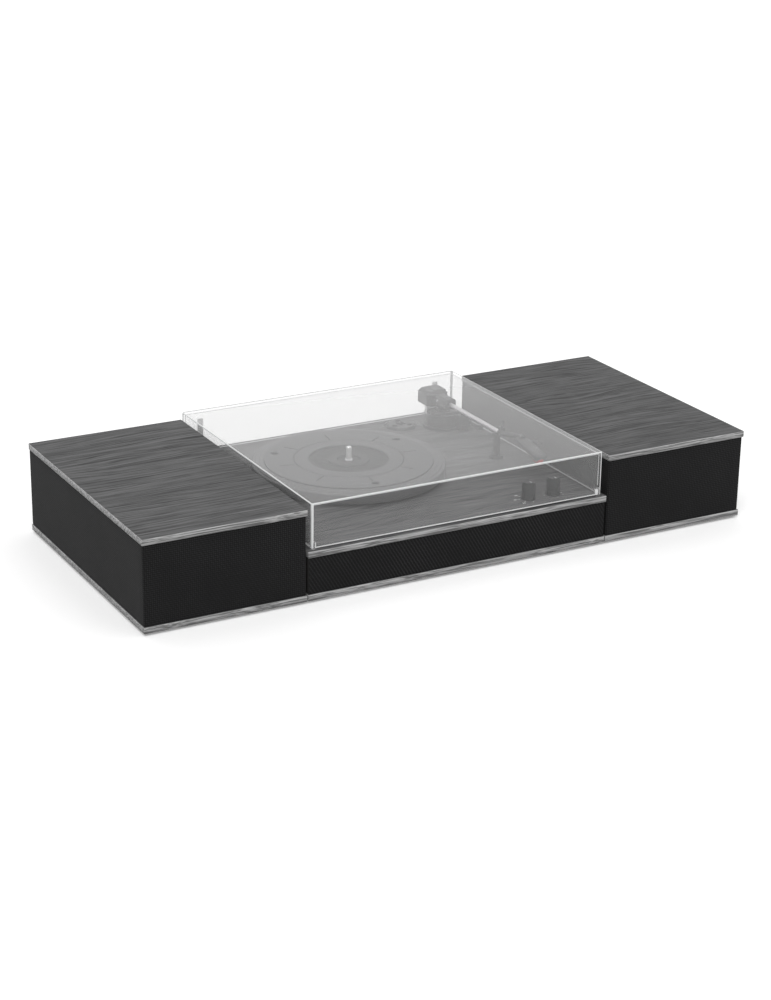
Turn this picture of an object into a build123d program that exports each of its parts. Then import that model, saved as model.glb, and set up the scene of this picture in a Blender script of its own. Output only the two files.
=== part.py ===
from build123d import *
import math
import os

# Record player with a clear hinged cover, between two loudspeaker boxes. Millimetres, +Z up,
# the listener in front at -Y, origin at the middle of the whole footprint on the floor.

# Driving sizes of the player
PLAYER_WIDTH = 410.0
PLAYER_DEPTH = 380.0
BOARD = 8.0
FOOT_HEIGHT = 3.0
DECK_TOP = 64.5
CLOTH = 0.8
CLOTH_INSET = 1.3
WALL = 8.0
REAR_RECESS = 18.0
EDGE_ROUND = 0.8

# Driving sizes of the loudspeakers
SPEAKER_WIDTH = 204.0
SPEAKER_DEPTH = 356.0
SPEAKER_TOP = 117.0
SPEAKER_GAP = 1.0
SPEAKER_WALL = 12.0

# Driving sizes of the clear cover
COVER_WIDTH = 398.0
COVER_FRONT_INSET = 4.0
COVER_DEPTH = 366.0
COVER_BOTTOM = DECK_TOP + 2.0
COVER_TOP = DECK_TOP + 57.0
COVER_WALL = 3.0
BUMPER_RADIUS = 3.6
BUMPER_HEIGHT = 9.0
HINGE_X = 173.0
HINGE_Y = 184.5
HINGE_Z = DECK_TOP + 8.0

# Driving sizes of the turning parts
PLATTER_X, PLATTER_Y = -41.0, 23.0
PLATTER_RADIUS = 122.0
MAT_RADIUS = 106.3
MAT_TOP = DECK_TOP + 20.0
LABEL_RADIUS = 49.4
MAT_RING_RADIUS = 69.0
HOLE_CIRCLE, HOLE_RADIUS, HOLE_ANGLE = 95.0, 5.2, 22.5
DRIVE_RADIUS = 84.0
SPINDLE_RADIUS, SHAFT_RADIUS = 3.6, 5.0
SPINDLE_TOP = DECK_TOP + 36.0
PULLEY_DISTANCE, PULLEY_RADIUS = 98.0, 6.0
BELT_THICK, BELT_WIDE, BELT_GAP = 0.6, 5.0, 0.15

# Driving sizes of the arm
ARM_X, ARM_Y = 155.5, 130.0
ARM_Z = DECK_TOP + 36.0
TUBE_RADIUS = 2.8
TUBE_END_Y = -16.0
REST_Y = -10.0
NECK_X, NECK_Y = ARM_X + 14.0, -45.0
NECK_RADIUS = 3.2
HEADSHELL_ANGLE = 10.5
HEADSHELL_LENGTH = 73.0
STYLUS_ALONG = 64.0
WEIGHT_WIDE, WEIGHT_LENGTH = 32.0, 32.5
WEIGHT_FROM_PIVOT = 9.5
WEIGHT_LOW, WEIGHT_HIGH = -11.5, 8.5
HOOD_WIDE, HOOD_FRONT, HOOD_REAR = 16.0, -22.0, 4.5
TUBE_SEAT = 15.0
LIFT_ARC_RADIUS = 31.0
CLIP_OPEN = 105.0

# Controls and the single adapter
KNOB_Y = -155.0
SPEED_KNOB_X, VOLUME_KNOB_X = 113.5, 149.0
KNOB_RADIUS, KNOB_HEIGHT = 8.5, 22.0
ADAPTER_X, ADAPTER_Y = 107.0, 155.0
ADAPTER_RADIUS = 19.0
WELL_RADIUS = 23.0

FRONT = -PLAYER_DEPTH / 2
BACK = PLAYER_DEPTH / 2
SIDE = PLAYER_WIDTH / 2
BASE_TOP = FOOT_HEIGHT + BOARD
DECK_UNDER = DECK_TOP - BOARD
SKIN_X = SIDE - CLOTH_INSET
REAR_Y = BACK - REAR_RECESS


def block(x0, x1, y0, y1, z0, z1):
    """A box between two corners."""
    return Pos((x0 + x1) / 2, (y0 + y1) / 2, (z0 + z1) / 2) * Box(x1 - x0, y1 - y0, z1 - z0)


def post(x, y, z0, z1, radius, top_radius=None):
    """An upright cylinder or cone."""
    middle = Pos(x, y, (z0 + z1) / 2)
    if top_radius is None:
        return middle * Cylinder(radius, z1 - z0)
    return middle * Cone(radius, top_radius, z1 - z0)


def rod_y(x, z, y0, y1, radius, front_radius=None):
    """A cylinder or cone along Y, whose front end may have its own radius."""
    middle = Pos(x, (y0 + y1) / 2, z) * Rot(90, 0, 0)
    if front_radius is None:
        return middle * Cylinder(radius, y1 - y0)
    return middle * Cone(radius, front_radius, y1 - y0)


def rod_x(y, z, x0, x1, radius):
    """A cylinder along X."""
    return Pos((x0 + x1) / 2, y, z) * Rot(0, 90, 0) * Cylinder(radius, x1 - x0)


def turned(points):
    """A solid of revolution about Z from its half outline in the XZ plane."""
    outline = Plane.XZ * make_face(Polyline(*points, close=True))
    return revolve(outline, Axis.Z)


def ring_places(count, radius, first_angle, x=0.0, y=0.0):
    """Evenly spaced places on a circle."""
    for k in range(count):
        angle = math.radians(first_angle + 360.0 * k / count)
        yield x + radius * math.cos(angle), y + radius * math.sin(angle)


def rounded(solid, axis=Axis.Z, radius=EDGE_ROUND):
    """The solid with the edges along one axis rounded."""
    return fillet(solid.edges().filter_by(axis), radius)


def softened(solid, radius=EDGE_ROUND):
    """The solid with all its edges lightly rounded."""
    return fillet(solid.edges(), radius)


def save(name, *solids):
    """Writes one node, whose separate pieces stay separate solids."""
    shape = solids[0] if len(solids) == 1 else Compound(children=list(solids))
    found = shape.solids()
    shape = found[0] if len(found) == 1 else Compound(children=found)
    export_step(shape, f"parts/{name}.step")


# Player cabinet


def base_board():
    return softened(block(-SIDE, SIDE, FRONT, BACK, FOOT_HEIGHT, BASE_TOP))


def deck_board():
    """The top board, with its holes for the bearing, motor, arm, knobs and adapter well."""
    board = softened(block(-SIDE, SIDE, FRONT, BACK, DECK_UNDER, DECK_TOP))
    board -= post(PLATTER_X, PLATTER_Y, DECK_UNDER - 1, DECK_TOP + 1, BEARING_RADIUS + 0.2)
    board -= post(PULLEY_X, PULLEY_Y, DECK_UNDER - 1, DECK_TOP + 1, MOTOR_HOLE)
    board -= post(ARM_X, ARM_Y, DECK_UNDER - 1, DECK_TOP + 1, ARM_STEM)
    board -= post(ADAPTER_X, ADAPTER_Y, DECK_TOP - WELL_DEPTH, DECK_TOP + 1, WELL_RADIUS)
    for x in (SPEED_KNOB_X, VOLUME_KNOB_X):
        board -= post(x, KNOB_Y, DECK_UNDER - 1, DECK_TOP + 1, BUSHING_RADIUS)
    return board


def side_walls():
    front = FRONT + CLOTH_INSET + CLOTH + WALL
    for side in (-1, 1):
        inner, outer = sorted((side * (SKIN_X - WALL), side * SKIN_X))
        yield block(inner, outer, front, REAR_Y - REAR_THICK, BASE_TOP, DECK_UNDER)


def front_baffle():
    y0 = FRONT + CLOTH_INSET + CLOTH
    return block(-SKIN_X, SKIN_X, y0, y0 + WALL, BASE_TOP, DECK_UNDER)


def front_cloth():
    y0 = FRONT + CLOTH_INSET
    return block(-SKIN_X, SKIN_X, y0, y0 + CLOTH, BASE_TOP, DECK_UNDER)


REAR_THICK = 3.0
JACK_Z = (BASE_TOP + DECK_UNDER) / 2
LINE_JACKS_X = (-30.0, -12.0)
SPEAKER_JACKS_X = (40.0, 58.0)
AUX_X, POWER_X = 92.0, 130.0
JACK_RADIUS, AUX_RADIUS, POWER_RADIUS = 4.2, 4.0, 5.0
JACK_BODY_DEPTH = 14.0


def jack_places():
    """Where each round socket passes through the rear panel, with its radius."""
    for x in LINE_JACKS_X + SPEAKER_JACKS_X:
        yield x, JACK_RADIUS
    yield AUX_X, AUX_RADIUS


def rear_panel():
    panel = block(-SKIN_X, SKIN_X, REAR_Y - REAR_THICK, REAR_Y, BASE_TOP, DECK_UNDER)
    for x, radius in jack_places():
        panel -= rod_y(x, JACK_Z, REAR_Y - REAR_THICK - 1, REAR_Y + 1, radius)
    panel -= rod_y(POWER_X, JACK_Z, REAR_Y - REAR_THICK - 1, REAR_Y + 1, POWER_RADIUS)
    return panel


def sockets():
    """Line output, loudspeaker and aux sockets: a stub outside and a moulded body inside."""
    for x, radius in jack_places():
        stub = 8.0 if radius == JACK_RADIUS else 3.0
        inside = REAR_Y - REAR_THICK
        socket = rod_y(x, JACK_Z, inside, REAR_Y + stub, radius)
        socket += block(x - 6, x + 6, inside - JACK_BODY_DEPTH, inside, JACK_Z - 7, JACK_Z + 7)
        bore = 1.7 if radius == JACK_RADIUS else 1.8
        socket -= rod_y(x, JACK_Z, inside - 4, REAR_Y + stub + 1, bore)
        yield socket


def power_inlet():
    inside = REAR_Y - REAR_THICK
    inlet = rod_y(POWER_X, JACK_Z, inside, REAR_Y + 2.5, POWER_RADIUS)
    inlet += block(POWER_X - 7, POWER_X + 7, inside - 12, inside, JACK_Z - 6, JACK_Z + 6)
    inlet -= rod_y(POWER_X, JACK_Z, inside - 8, REAR_Y + 4, 2.9)
    return inlet + rod_y(POWER_X, JACK_Z, inside - 8, REAR_Y + 1, 1.0)


FOOT_RADIUS = 11.0
FOOT_INSET = 32.0


def foot_places(half_width, front, back, middle=0.0):
    for sx in (-1, 1):
        for y in (front + FOOT_INSET, back - FOOT_INSET):
            yield middle + sx * (half_width - FOOT_INSET), y


def feet(places):
    """Round rubber feet, dished for the screw."""
    for x, y in places:
        foot = post(x, y, 0, FOOT_HEIGHT, FOOT_RADIUS - 1, FOOT_RADIUS)
        yield foot - post(x, y, -1, 1.6, 3.6)


def cabinet_screws():
    """Screws up through the base board into the side walls, and through the rear panel."""
    for sx in (-1, 1):
        for y in (-150.0, 0.0, 140.0):
            x = sx * (SKIN_X - WALL / 2)
            yield post(x, y, FOOT_HEIGHT - 1.2, FOOT_HEIGHT, 3.2)
        for z in (BASE_TOP + 8, DECK_UNDER - 8):
            x = sx * (SKIN_X - WALL / 2)
            yield rod_y(x, z, REAR_Y, REAR_Y + 1.6, 3.0)


# Drive

BEARING_RADIUS = 9.0
COLLAR_TOP = MAT_TOP - 1.0
SHAFT_BOTTOM = 44.0
RUNNING_GAP = 0.05
MOTOR_HOLE = 9.0
MOTOR_RADIUS, MOTOR_LOW = 16.0, 30.0
PULLEY_ANGLE = HOLE_ANGLE + 120.0
PULLEY_X = PLATTER_X + PULLEY_DISTANCE * math.cos(math.radians(PULLEY_ANGLE))
PULLEY_Y = PLATTER_Y + PULLEY_DISTANCE * math.sin(math.radians(PULLEY_ANGLE))
PLATE_UNDER = MAT_TOP - 6.0
PLATE_TOP = MAT_TOP - 3.5
BELT_LOW = PLATE_UNDER - 7.5


def bearing_housing():
    housing = post(PLATTER_X, PLATTER_Y, SHAFT_BOTTOM - 4, PLATE_UNDER - 3, BEARING_RADIUS)
    housing += post(PLATTER_X, PLATTER_Y, DECK_TOP, DECK_TOP + 2.5, 22.0)
    return housing - post(
        PLATTER_X, PLATTER_Y, SHAFT_BOTTOM - 0.2, PLATE_UNDER, SHAFT_RADIUS + RUNNING_GAP
    )


def spindle():
    """The shaft with its collar, and the thinner pin for the record's hole, domed at the top."""
    dome = 2.2
    pin = post(PLATTER_X, PLATTER_Y, COLLAR_TOP, SPINDLE_TOP, SPINDLE_RADIUS)
    pin = fillet(pin.edges().group_by(Axis.Z)[-1], dome)
    return pin + post(PLATTER_X, PLATTER_Y, SHAFT_BOTTOM, COLLAR_TOP, SHAFT_RADIUS)


def platter():
    """Cast plate with a stepped outer rim, skirt, drive ring and hub under it."""
    skirt_low, rim, skirt = DECK_TOP + 4.0, PLATTER_RADIUS, 3.5
    lip = PLATE_TOP + 2.0
    plate = turned(
        [
            (SHAFT_RADIUS, PLATE_UNDER - 2.5),
            (14.0, PLATE_UNDER - 2.5),
            (14.0, PLATE_UNDER),
            (DRIVE_RADIUS - 4, PLATE_UNDER),
            (DRIVE_RADIUS - 4, PLATE_UNDER - 9),
            (DRIVE_RADIUS, PLATE_UNDER - 9),
            (DRIVE_RADIUS, PLATE_UNDER),
            (rim - skirt, PLATE_UNDER),
            (rim - skirt, skirt_low),
            (rim - 1, skirt_low),
            (rim, skirt_low + 1),
            (rim, lip - 2.8),
            (rim - 1.0, lip - 1.8),
            (rim - 4.6, lip - 1.5),
            (rim - 5.0, lip - 0.8),
            (rim - 9.6, lip - 0.5),
            (rim - 10.0, lip),
            (MAT_RADIUS + 0.6, lip),
            (MAT_RADIUS + 0.1, lip - 0.5),
            (MAT_RADIUS + 0.1, PLATE_TOP),
            (SHAFT_RADIUS, PLATE_TOP),
        ]
    )
    for x, y in ring_places(3, HOLE_CIRCLE, HOLE_ANGLE):
        plate -= post(x, y, PLATE_UNDER - 1, PLATE_TOP + 1, HOLE_RADIUS + 0.5)
    return Pos(PLATTER_X, PLATTER_Y, 0) * plate


def platter_mat():
    """Rubber mat with a sunk label area, a ring groove, eight short ribs and three holes."""
    ring, groove, low = MAT_RING_RADIUS, 1.1, MAT_TOP - 2.2
    mat = turned(
        [
            (SHAFT_RADIUS + 0.3, PLATE_TOP),
            (MAT_RADIUS, PLATE_TOP),
            (MAT_RADIUS, MAT_TOP - 0.5),
            (MAT_RADIUS - 0.5, MAT_TOP),
            (ring + groove, MAT_TOP),
            (ring, MAT_TOP - groove),
            (ring - groove, MAT_TOP),
            (LABEL_RADIUS + 1.2, MAT_TOP),
            (LABEL_RADIUS, low),
            (26.2, low),
            (25.4, low + 1.2),
            (14.8, low + 1.2),
            (14.0, low),
            (SHAFT_RADIUS + 0.3, low),
        ]
    )
    for x, y in ring_places(3, HOLE_CIRCLE, HOLE_ANGLE):
        mat -= post(x, y, PLATE_TOP - 1, MAT_TOP + 1, HOLE_RADIUS)
    for k in range(8):
        rib = block(ring + 2.5, ring + 22, -0.9, 0.9, MAT_TOP - groove, MAT_TOP + 1)
        mat -= Rot(0, 0, 37.0 + 45.0 * k) * rib
    return Pos(PLATTER_X, PLATTER_Y, 0) * mat


def motor():
    """Small motor hung under the deck, with its mounting ears."""
    can = post(PULLEY_X, PULLEY_Y, MOTOR_LOW, DECK_UNDER - 1.5, MOTOR_RADIUS)
    can += block(PULLEY_X - 24, PULLEY_X + 24, PULLEY_Y - 5, PULLEY_Y + 5, DECK_UNDER - 3, DECK_UNDER)
    can += post(PULLEY_X, PULLEY_Y, DECK_UNDER - 3, DECK_UNDER, MOTOR_RADIUS)
    can -= post(PULLEY_X, PULLEY_Y, MOTOR_LOW + 3, DECK_UNDER - 5, MOTOR_RADIUS - 2)
    return can - post(PULLEY_X, PULLEY_Y, MOTOR_LOW + 1, DECK_UNDER + 1, 1.0 + RUNNING_GAP)


def motor_screws():
    for side in (-1, 1):
        yield post(PULLEY_X + side * 20.5, PULLEY_Y, DECK_UNDER - 5.0, DECK_UNDER - 3.0, 2.4)


def motor_pulley():
    """Flanged pulley on the motor's shaft, with the rotor inside the motor."""
    flange = PULLEY_RADIUS + 1.2
    pulley = post(PULLEY_X, PULLEY_Y, MOTOR_LOW + 1.3, BELT_LOW, 1.0)
    pulley += post(PULLEY_X, PULLEY_Y, MOTOR_LOW + 4, DECK_UNDER - 6, MOTOR_RADIUS - 3)
    pulley += post(PULLEY_X, PULLEY_Y, BELT_LOW - 1.4, BELT_LOW - 0.4, flange)
    pulley += post(PULLEY_X, PULLEY_Y, BELT_LOW - 0.4, BELT_LOW + 5.4, PULLEY_RADIUS)
    return pulley + post(PULLEY_X, PULLEY_Y, BELT_LOW + 5.4, BELT_LOW + 6.4, flange)


def belt_loop(extra):
    """The flat shape round the drive ring and the pulley, this far outside both."""
    ring = Circle(DRIVE_RADIUS + extra)
    small = Pos(PULLEY_DISTANCE, 0) * Circle(PULLEY_RADIUS + extra)
    return make_hull(ring.edges() + small.edges())


def drive_belt():
    belt = extrude(belt_loop(BELT_GAP + BELT_THICK), BELT_WIDE)
    belt -= extrude(belt_loop(BELT_GAP), BELT_WIDE)
    return Pos(PLATTER_X, PLATTER_Y, BELT_LOW) * Rot(0, 0, PULLEY_ANGLE) * belt


# Arm

ARM_STEM = 9.0
BASE_DISC, BASE_BODY = 25.0, 22.0
BODY_TOP = DECK_TOP + 19.5
YOKE_LOW = BODY_TOP + 0.3
LIFT_ANGLE = 300.0
LIFT_X = ARM_X + LIFT_ARC_RADIUS * math.cos(math.radians(LIFT_ANGLE))
LIFT_Y = ARM_Y + LIFT_ARC_RADIUS * math.sin(math.radians(LIFT_ANGLE))
LIFT_TOP = ARM_Z - TUBE_RADIUS - 5.0
LEVER_X, LEVER_Z = LIFT_X + 9.0, DECK_TOP + 10.0
PIN_RADIUS = 1.2
STUB_RADIUS = 3.0
BLADE_WIDE, BLADE_FRONT, BLADE_REAR = 7.0, -3.0, 2.2


def arm_base():
    """Fixed column with the block that guides the lift, and its stem through the deck."""
    base = post(ARM_X, ARM_Y, DECK_TOP, DECK_TOP + 4, BASE_DISC)
    base += post(ARM_X, ARM_Y, DECK_TOP + 4, BODY_TOP, BASE_BODY, BASE_BODY - 1.5)
    base += post(ARM_X, ARM_Y, DECK_UNDER - 6, DECK_TOP, ARM_STEM)
    guide = block(LIFT_X - 6, LIFT_X + 7, LIFT_Y - 6, LIFT_Y + 8, DECK_TOP, DECK_TOP + 21)
    base += rounded(guide, radius=2.0)
    base -= post(LIFT_X, LIFT_Y, DECK_TOP + 4, DECK_TOP + 22, 2.0 + RUNNING_GAP)
    base -= rod_x(LIFT_Y, LEVER_Z, LIFT_X + 2.5, LIFT_X + 9, 1.5 + RUNNING_GAP)
    return base - post(ARM_X, ARM_Y, DECK_UNDER, BODY_TOP + 1, 4.0 + RUNNING_GAP)


def arm_yoke():
    """Turning post on the column, narrowed to a blade that the arm's hood rocks on."""
    yoke = post(ARM_X, ARM_Y, YOKE_LOW, YOKE_LOW + 3, 10.0)
    yoke += post(ARM_X, ARM_Y, DECK_UNDER + 1, YOKE_LOW, 4.0)
    half = BLADE_WIDE / 2
    yoke += block(ARM_X - 7, ARM_X + 7, ARM_Y - 5, ARM_Y + 5, YOKE_LOW + 3, ARM_Z - 9)
    yoke += block(
        ARM_X - half, ARM_X + half, ARM_Y + BLADE_FRONT, ARM_Y + BLADE_REAR, ARM_Z - 9, ARM_Z + 3.5
    )
    return yoke - rod_x(ARM_Y, ARM_Z, ARM_X - 4, ARM_X + 4, PIN_RADIUS + RUNNING_GAP)


def pivot_block():
    """Hood over the blade, drilled for the tube, with the stub that carries the weight."""
    wide, y0, y1 = HOOD_WIDE / 2, ARM_Y + HOOD_FRONT, ARM_Y + HOOD_REAR
    hood = block(ARM_X - wide, ARM_X + wide, y0, y1, ARM_Z - 7, ARM_Z + 7)
    hood = chamfer(hood.edges().filter_by(Axis.Y), 2.5)
    half = BLADE_WIDE / 2 + 0.5
    front, rear = ARM_Y + BLADE_FRONT - 1.5, ARM_Y + BLADE_REAR + 0.8
    hood -= block(ARM_X - half, ARM_X + half, front, rear, ARM_Z - 8, ARM_Z + 5)
    hood += rod_y(ARM_X, ARM_Z, y1, ARM_Y + 38, STUB_RADIUS)
    hood -= rod_y(ARM_X, ARM_Z, y0 - 1, ARM_Y - TUBE_SEAT, TUBE_RADIUS)
    return hood - rod_x(ARM_Y, ARM_Z, ARM_X - wide - 1, ARM_X + wide + 1, PIN_RADIUS)


def pivot_pins():
    """The cross pins that the arm rocks on."""
    for side in (-1, 1):
        inner, outer = sorted((side * 1.0, side * HOOD_WIDE / 2))
        yield rod_x(ARM_Y, ARM_Z, ARM_X + inner, ARM_X + outer, PIN_RADIUS)


def arm_tube():
    rear, wall = ARM_Y - TUBE_SEAT, 0.6
    tube = rod_y(ARM_X, ARM_Z, TUBE_END_Y, rear, TUBE_RADIUS)
    return tube - rod_y(ARM_X, ARM_Z, TUBE_END_Y - 1, rear - 1, TUBE_RADIUS - wall)


def arm_neck():
    """Curved neck from the tube's end out to the headshell, with a collar at each end."""
    angle = math.radians(HEADSHELL_ANGLE)
    ahead = (-math.sin(angle), -math.cos(angle), 0)
    path = Spline(
        (ARM_X, TUBE_END_Y, ARM_Z), (NECK_X, NECK_Y, ARM_Z), tangents=((0, -1, 0), ahead)
    )
    start = Plane(origin=path @ 0, z_dir=path % 0)
    neck = sweep(start * Circle(NECK_RADIUS), path)
    return neck + rod_y(ARM_X, ARM_Z, TUBE_END_Y - 3.5, TUBE_END_Y, NECK_RADIUS + 0.8)


def at_headshell(shape):
    """Places a shape drawn along +Y from the end of the neck, at its height."""
    return Pos(NECK_X, NECK_Y, ARM_Z) * Rot(0, 0, 180 - HEADSHELL_ANGLE) * shape


def headshell():
    """Long shell, open below, with a socket for the neck and a finger lift at its outer side."""
    plate = block(-8, 8, 2, HEADSHELL_LENGTH, -4.5, 1.0)
    plate = fillet(plate.edges().filter_by(Axis.Z).group_by(Axis.Y)[-1], 4.0)
    plate = chamfer(plate.edges().filter_by(Axis.Y).group_by(Axis.Z)[-1], 1.5)
    plate -= block(-6.6, 6.6, 14, HEADSHELL_LENGTH - 4, -5, -1.2)
    plate += Pos(0, 2, 0) * Rot(90, 0, 0) * Cylinder(NECK_RADIUS + 1.2, 8)
    plate -= Pos(0, -2, 0) * Rot(90, 0, 0) * Cylinder(NECK_RADIUS + 0.3, 4)
    tab = block(-15, -7, 14, 20, -0.8, 0.4)
    tab += block(-15, -11, 14, 31, -0.8, 0.4)
    tab += block(-16, -15, 14, 31, -0.8, 1.8)
    return at_headshell(plate + tab)


# The pickup's underside from rear to front, as far along the shell and above the tube's axis
PICKUP_UNDER = ((36, -8.0), (50, -10.5), (66, -9.5), (69, -5.5))


def cartridge():
    """Black pickup body, its lower front cut away for the stylus."""
    side = Polyline((36, -1.2), *PICKUP_UNDER, (69, -1.2), close=True)
    body = extrude(Plane.YZ * make_face(side), 5.2, both=True)
    return at_headshell(body)


def stylus():
    """Red stylus holder sloping down under the pickup, with its thin cantilever and tip."""
    low = MAT_TOP + 2.2 - ARM_Z
    side = Polyline(*PICKUP_UNDER, (70.2, -5.5), (68, -12.0), (52, -12.6), (36, -9.4), close=True)
    holder = extrude(Plane.YZ * make_face(side), 3.4, both=True)
    lever = block(-0.4, 0.4, STYLUS_ALONG - 4, STYLUS_ALONG + 0.5, low + 0.5, -11.5)
    tip = Pos(0, STYLUS_ALONG, low + 0.35) * Cone(0.1, 0.3, 0.7)
    return at_headshell(holder + lever + tip)


def counterweight():
    """Eight-sided block on the stub behind the hood, with a seam half way along."""
    half, front = WEIGHT_WIDE / 2, ARM_Y + WEIGHT_FROM_PIVOT
    rear, top = front + WEIGHT_LENGTH, ARM_Z + WEIGHT_HIGH
    weight = block(ARM_X - half, ARM_X + half, front, rear, ARM_Z + WEIGHT_LOW, top)
    weight = chamfer(weight.edges().filter_by(Axis.Z), 4.5)
    weight = chamfer(weight.faces().sort_by(Axis.Z)[-1].edges(), 5.0)
    weight = chamfer(weight.faces().sort_by(Axis.Z)[0].edges(), 1.5)
    seam = front + WEIGHT_LENGTH / 2
    weight -= block(ARM_X - half, ARM_X + half, seam - 0.4, seam + 0.4, top - 0.6, top + 1)
    return weight - rod_y(ARM_X, ARM_Z, ARM_Y, ARM_Y + 60, STUB_RADIUS + RUNNING_GAP)


def counterweight():
    """Chamfered block on the stub behind the hood, with a raised panel on top."""
    half, front = WEIGHT_WIDE / 2, ARM_Y + WEIGHT_FROM_PIVOT
    rear = front + WEIGHT_LENGTH
    weight = block(ARM_X - half, ARM_X + half, front, rear, ARM_Z + WEIGHT_LOW, ARM_Z + WEIGHT_HIGH)
    weight = chamfer(weight.edges().filter_by(Axis.Z), 4.5)
    weight = chamfer(weight.faces().sort_by(Axis.Z)[-1].edges(), 4.0)
    weight = chamfer(weight.faces().sort_by(Axis.Z)[0].edges(), 1.5)
    top = ARM_Z + WEIGHT_HIGH
    panel = block(ARM_X - 4, ARM_X + 13, front + 4.5, rear - 5, top - 1, top + 0.8)
    weight += chamfer(panel.faces().sort_by(Axis.Z)[-1].edges(), 0.5)
    return weight - rod_y(ARM_X, ARM_Z, ARM_Y, ARM_Y + 60, STUB_RADIUS + RUNNING_GAP)


def cue_lift():
    """Curved bar under the tube, on a rod that slides up and down in the column's guide."""
    flat = Circle(LIFT_ARC_RADIUS + 2) - Circle(LIFT_ARC_RADIUS - 2)
    reach = 60.0
    first, last = math.radians(212.0), math.radians(LIFT_ANGLE + 5)
    corners = [(0, 0)]
    for share in (0.0, 0.5, 1.0):
        angle = first + (last - first) * share
        corners.append((reach * math.cos(angle), reach * math.sin(angle)))
    flat &= make_face(Polyline(*corners, close=True))
    bar = Pos(ARM_X, ARM_Y, LIFT_TOP - 2.5) * extrude(flat, 2.5)
    return bar + post(LIFT_X, LIFT_Y, DECK_TOP + 6, LIFT_TOP - 1, 2.0)


def cue_lever():
    """Hand lever at the outer side of the pedestal, on its own short axle."""
    hub = rod_x(LIFT_Y, LEVER_Z, LEVER_X - 1.7, LEVER_X + 3, 5.0)
    hub += rod_x(LIFT_Y, LEVER_Z, LIFT_X + 3.0, LEVER_X, 1.5)
    stick = block(LEVER_X - 0.5, LEVER_X + 2.5, LIFT_Y - 30, LIFT_Y - 3, LEVER_Z - 1.5, LEVER_Z + 1.5)
    tip = block(LEVER_X - 1.7, LEVER_X + 3, LIFT_Y - 34, LIFT_Y - 26, LEVER_Z - 2, LEVER_Z + 3.5)
    tip = fillet(tip.edges().filter_by(Axis.X), 1.5)
    return hub + stick + tip


CLIP_X, CLIP_Z = ARM_X + TUBE_RADIUS + 3.4, ARM_Z + 3.0


def arm_rest():
    """Post beside the platter, the flat seat that carries the tube, and two cheeks for the clip."""
    stem = post(ARM_X, REST_Y, DECK_TOP, ARM_Z - 7, 4.5)
    yield stem + post(ARM_X, REST_Y, DECK_TOP, DECK_TOP + 3, 9.0, 8.0)
    floor = ARM_Z - TUBE_RADIUS - 0.3
    outer = ARM_X + 9.4
    yield block(ARM_X - 5.5, outer, REST_Y - 4, REST_Y + 4, ARM_Z - 7, floor)
    for y0 in (REST_Y - 4, REST_Y + 1.7):
        cheek = block(ARM_X + 4.4, outer, y0, y0 + 2.3, floor, ARM_Z + 4.5)
        yield cheek - rod_y(CLIP_X, CLIP_Z, y0 - 1, y0 + 3, 0.8 + RUNNING_GAP)


def rest_clip():
    """Clip hinged on the rest's lip, shown swung open, which closes over the tube."""
    arch = rod_y(ARM_X, ARM_Z, REST_Y - 1.5, REST_Y + 1.5, TUBE_RADIUS + 2.0)
    arch -= rod_y(ARM_X, ARM_Z, REST_Y - 2, REST_Y + 2, TUBE_RADIUS + 0.5)
    arch &= block(ARM_X - 12, ARM_X + 12, REST_Y - 2, REST_Y + 2, ARM_Z + 1.5, ARM_Z + 12)
    link = block(ARM_X + 3.5, CLIP_X + 1.2, REST_Y - 1.5, REST_Y + 1.5, ARM_Z + 1.7, ARM_Z + 4.3)
    link -= rod_y(ARM_X, ARM_Z, REST_Y - 2, REST_Y + 2, TUBE_RADIUS + 0.5)
    pin = rod_y(CLIP_X, CLIP_Z, REST_Y - 3.9, REST_Y + 3.9, 0.8)
    closed = arch + link + pin
    hinge = Axis((CLIP_X, REST_Y, CLIP_Z), (0, 1, 0))
    return closed.rotate(hinge, CLIP_OPEN)


# Controls

BUSHING_RADIUS = 4.5
WELL_DEPTH = 3.0


def control_bodies():
    """The two rotary controls under the deck, with their bushings through it."""
    for x in (SPEED_KNOB_X, VOLUME_KNOB_X):
        body = block(x - 10, x + 10, KNOB_Y - 10, KNOB_Y + 10, DECK_UNDER - 12, DECK_UNDER)
        body += post(x, KNOB_Y, DECK_UNDER, DECK_TOP, BUSHING_RADIUS)
        yield body - post(x, KNOB_Y, DECK_UNDER - 8, DECK_TOP + 1, 3.0 + RUNNING_GAP)


def knob(x):
    """Ribbed knob with a wider foot and a raised pointer, on its shaft."""
    low = DECK_TOP + 0.4
    body = post(x, KNOB_Y, low + 4.5, low + KNOB_HEIGHT, KNOB_RADIUS - 0.2, KNOB_RADIUS - 0.8)
    rim = body.edges().group_by(Axis.Z)[-1]
    body = fillet(rim, 0.8)
    for rx, ry in ring_places(18, KNOB_RADIUS + 0.3, 10.0, x, KNOB_Y):
        body -= post(rx, ry, low + 5.5, low + KNOB_HEIGHT + 1, 0.8)
    body += post(x, KNOB_Y, low, low + 4.5, KNOB_RADIUS + 0.7, KNOB_RADIUS)
    top = low + KNOB_HEIGHT
    body += block(x - 0.5, x + 0.5, KNOB_Y - KNOB_RADIUS + 1.6, KNOB_Y - 1.5, top - 0.5, top + 0.5)
    return body + post(x, KNOB_Y, DECK_UNDER - 7.5, low + 1, 3.0)


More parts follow.
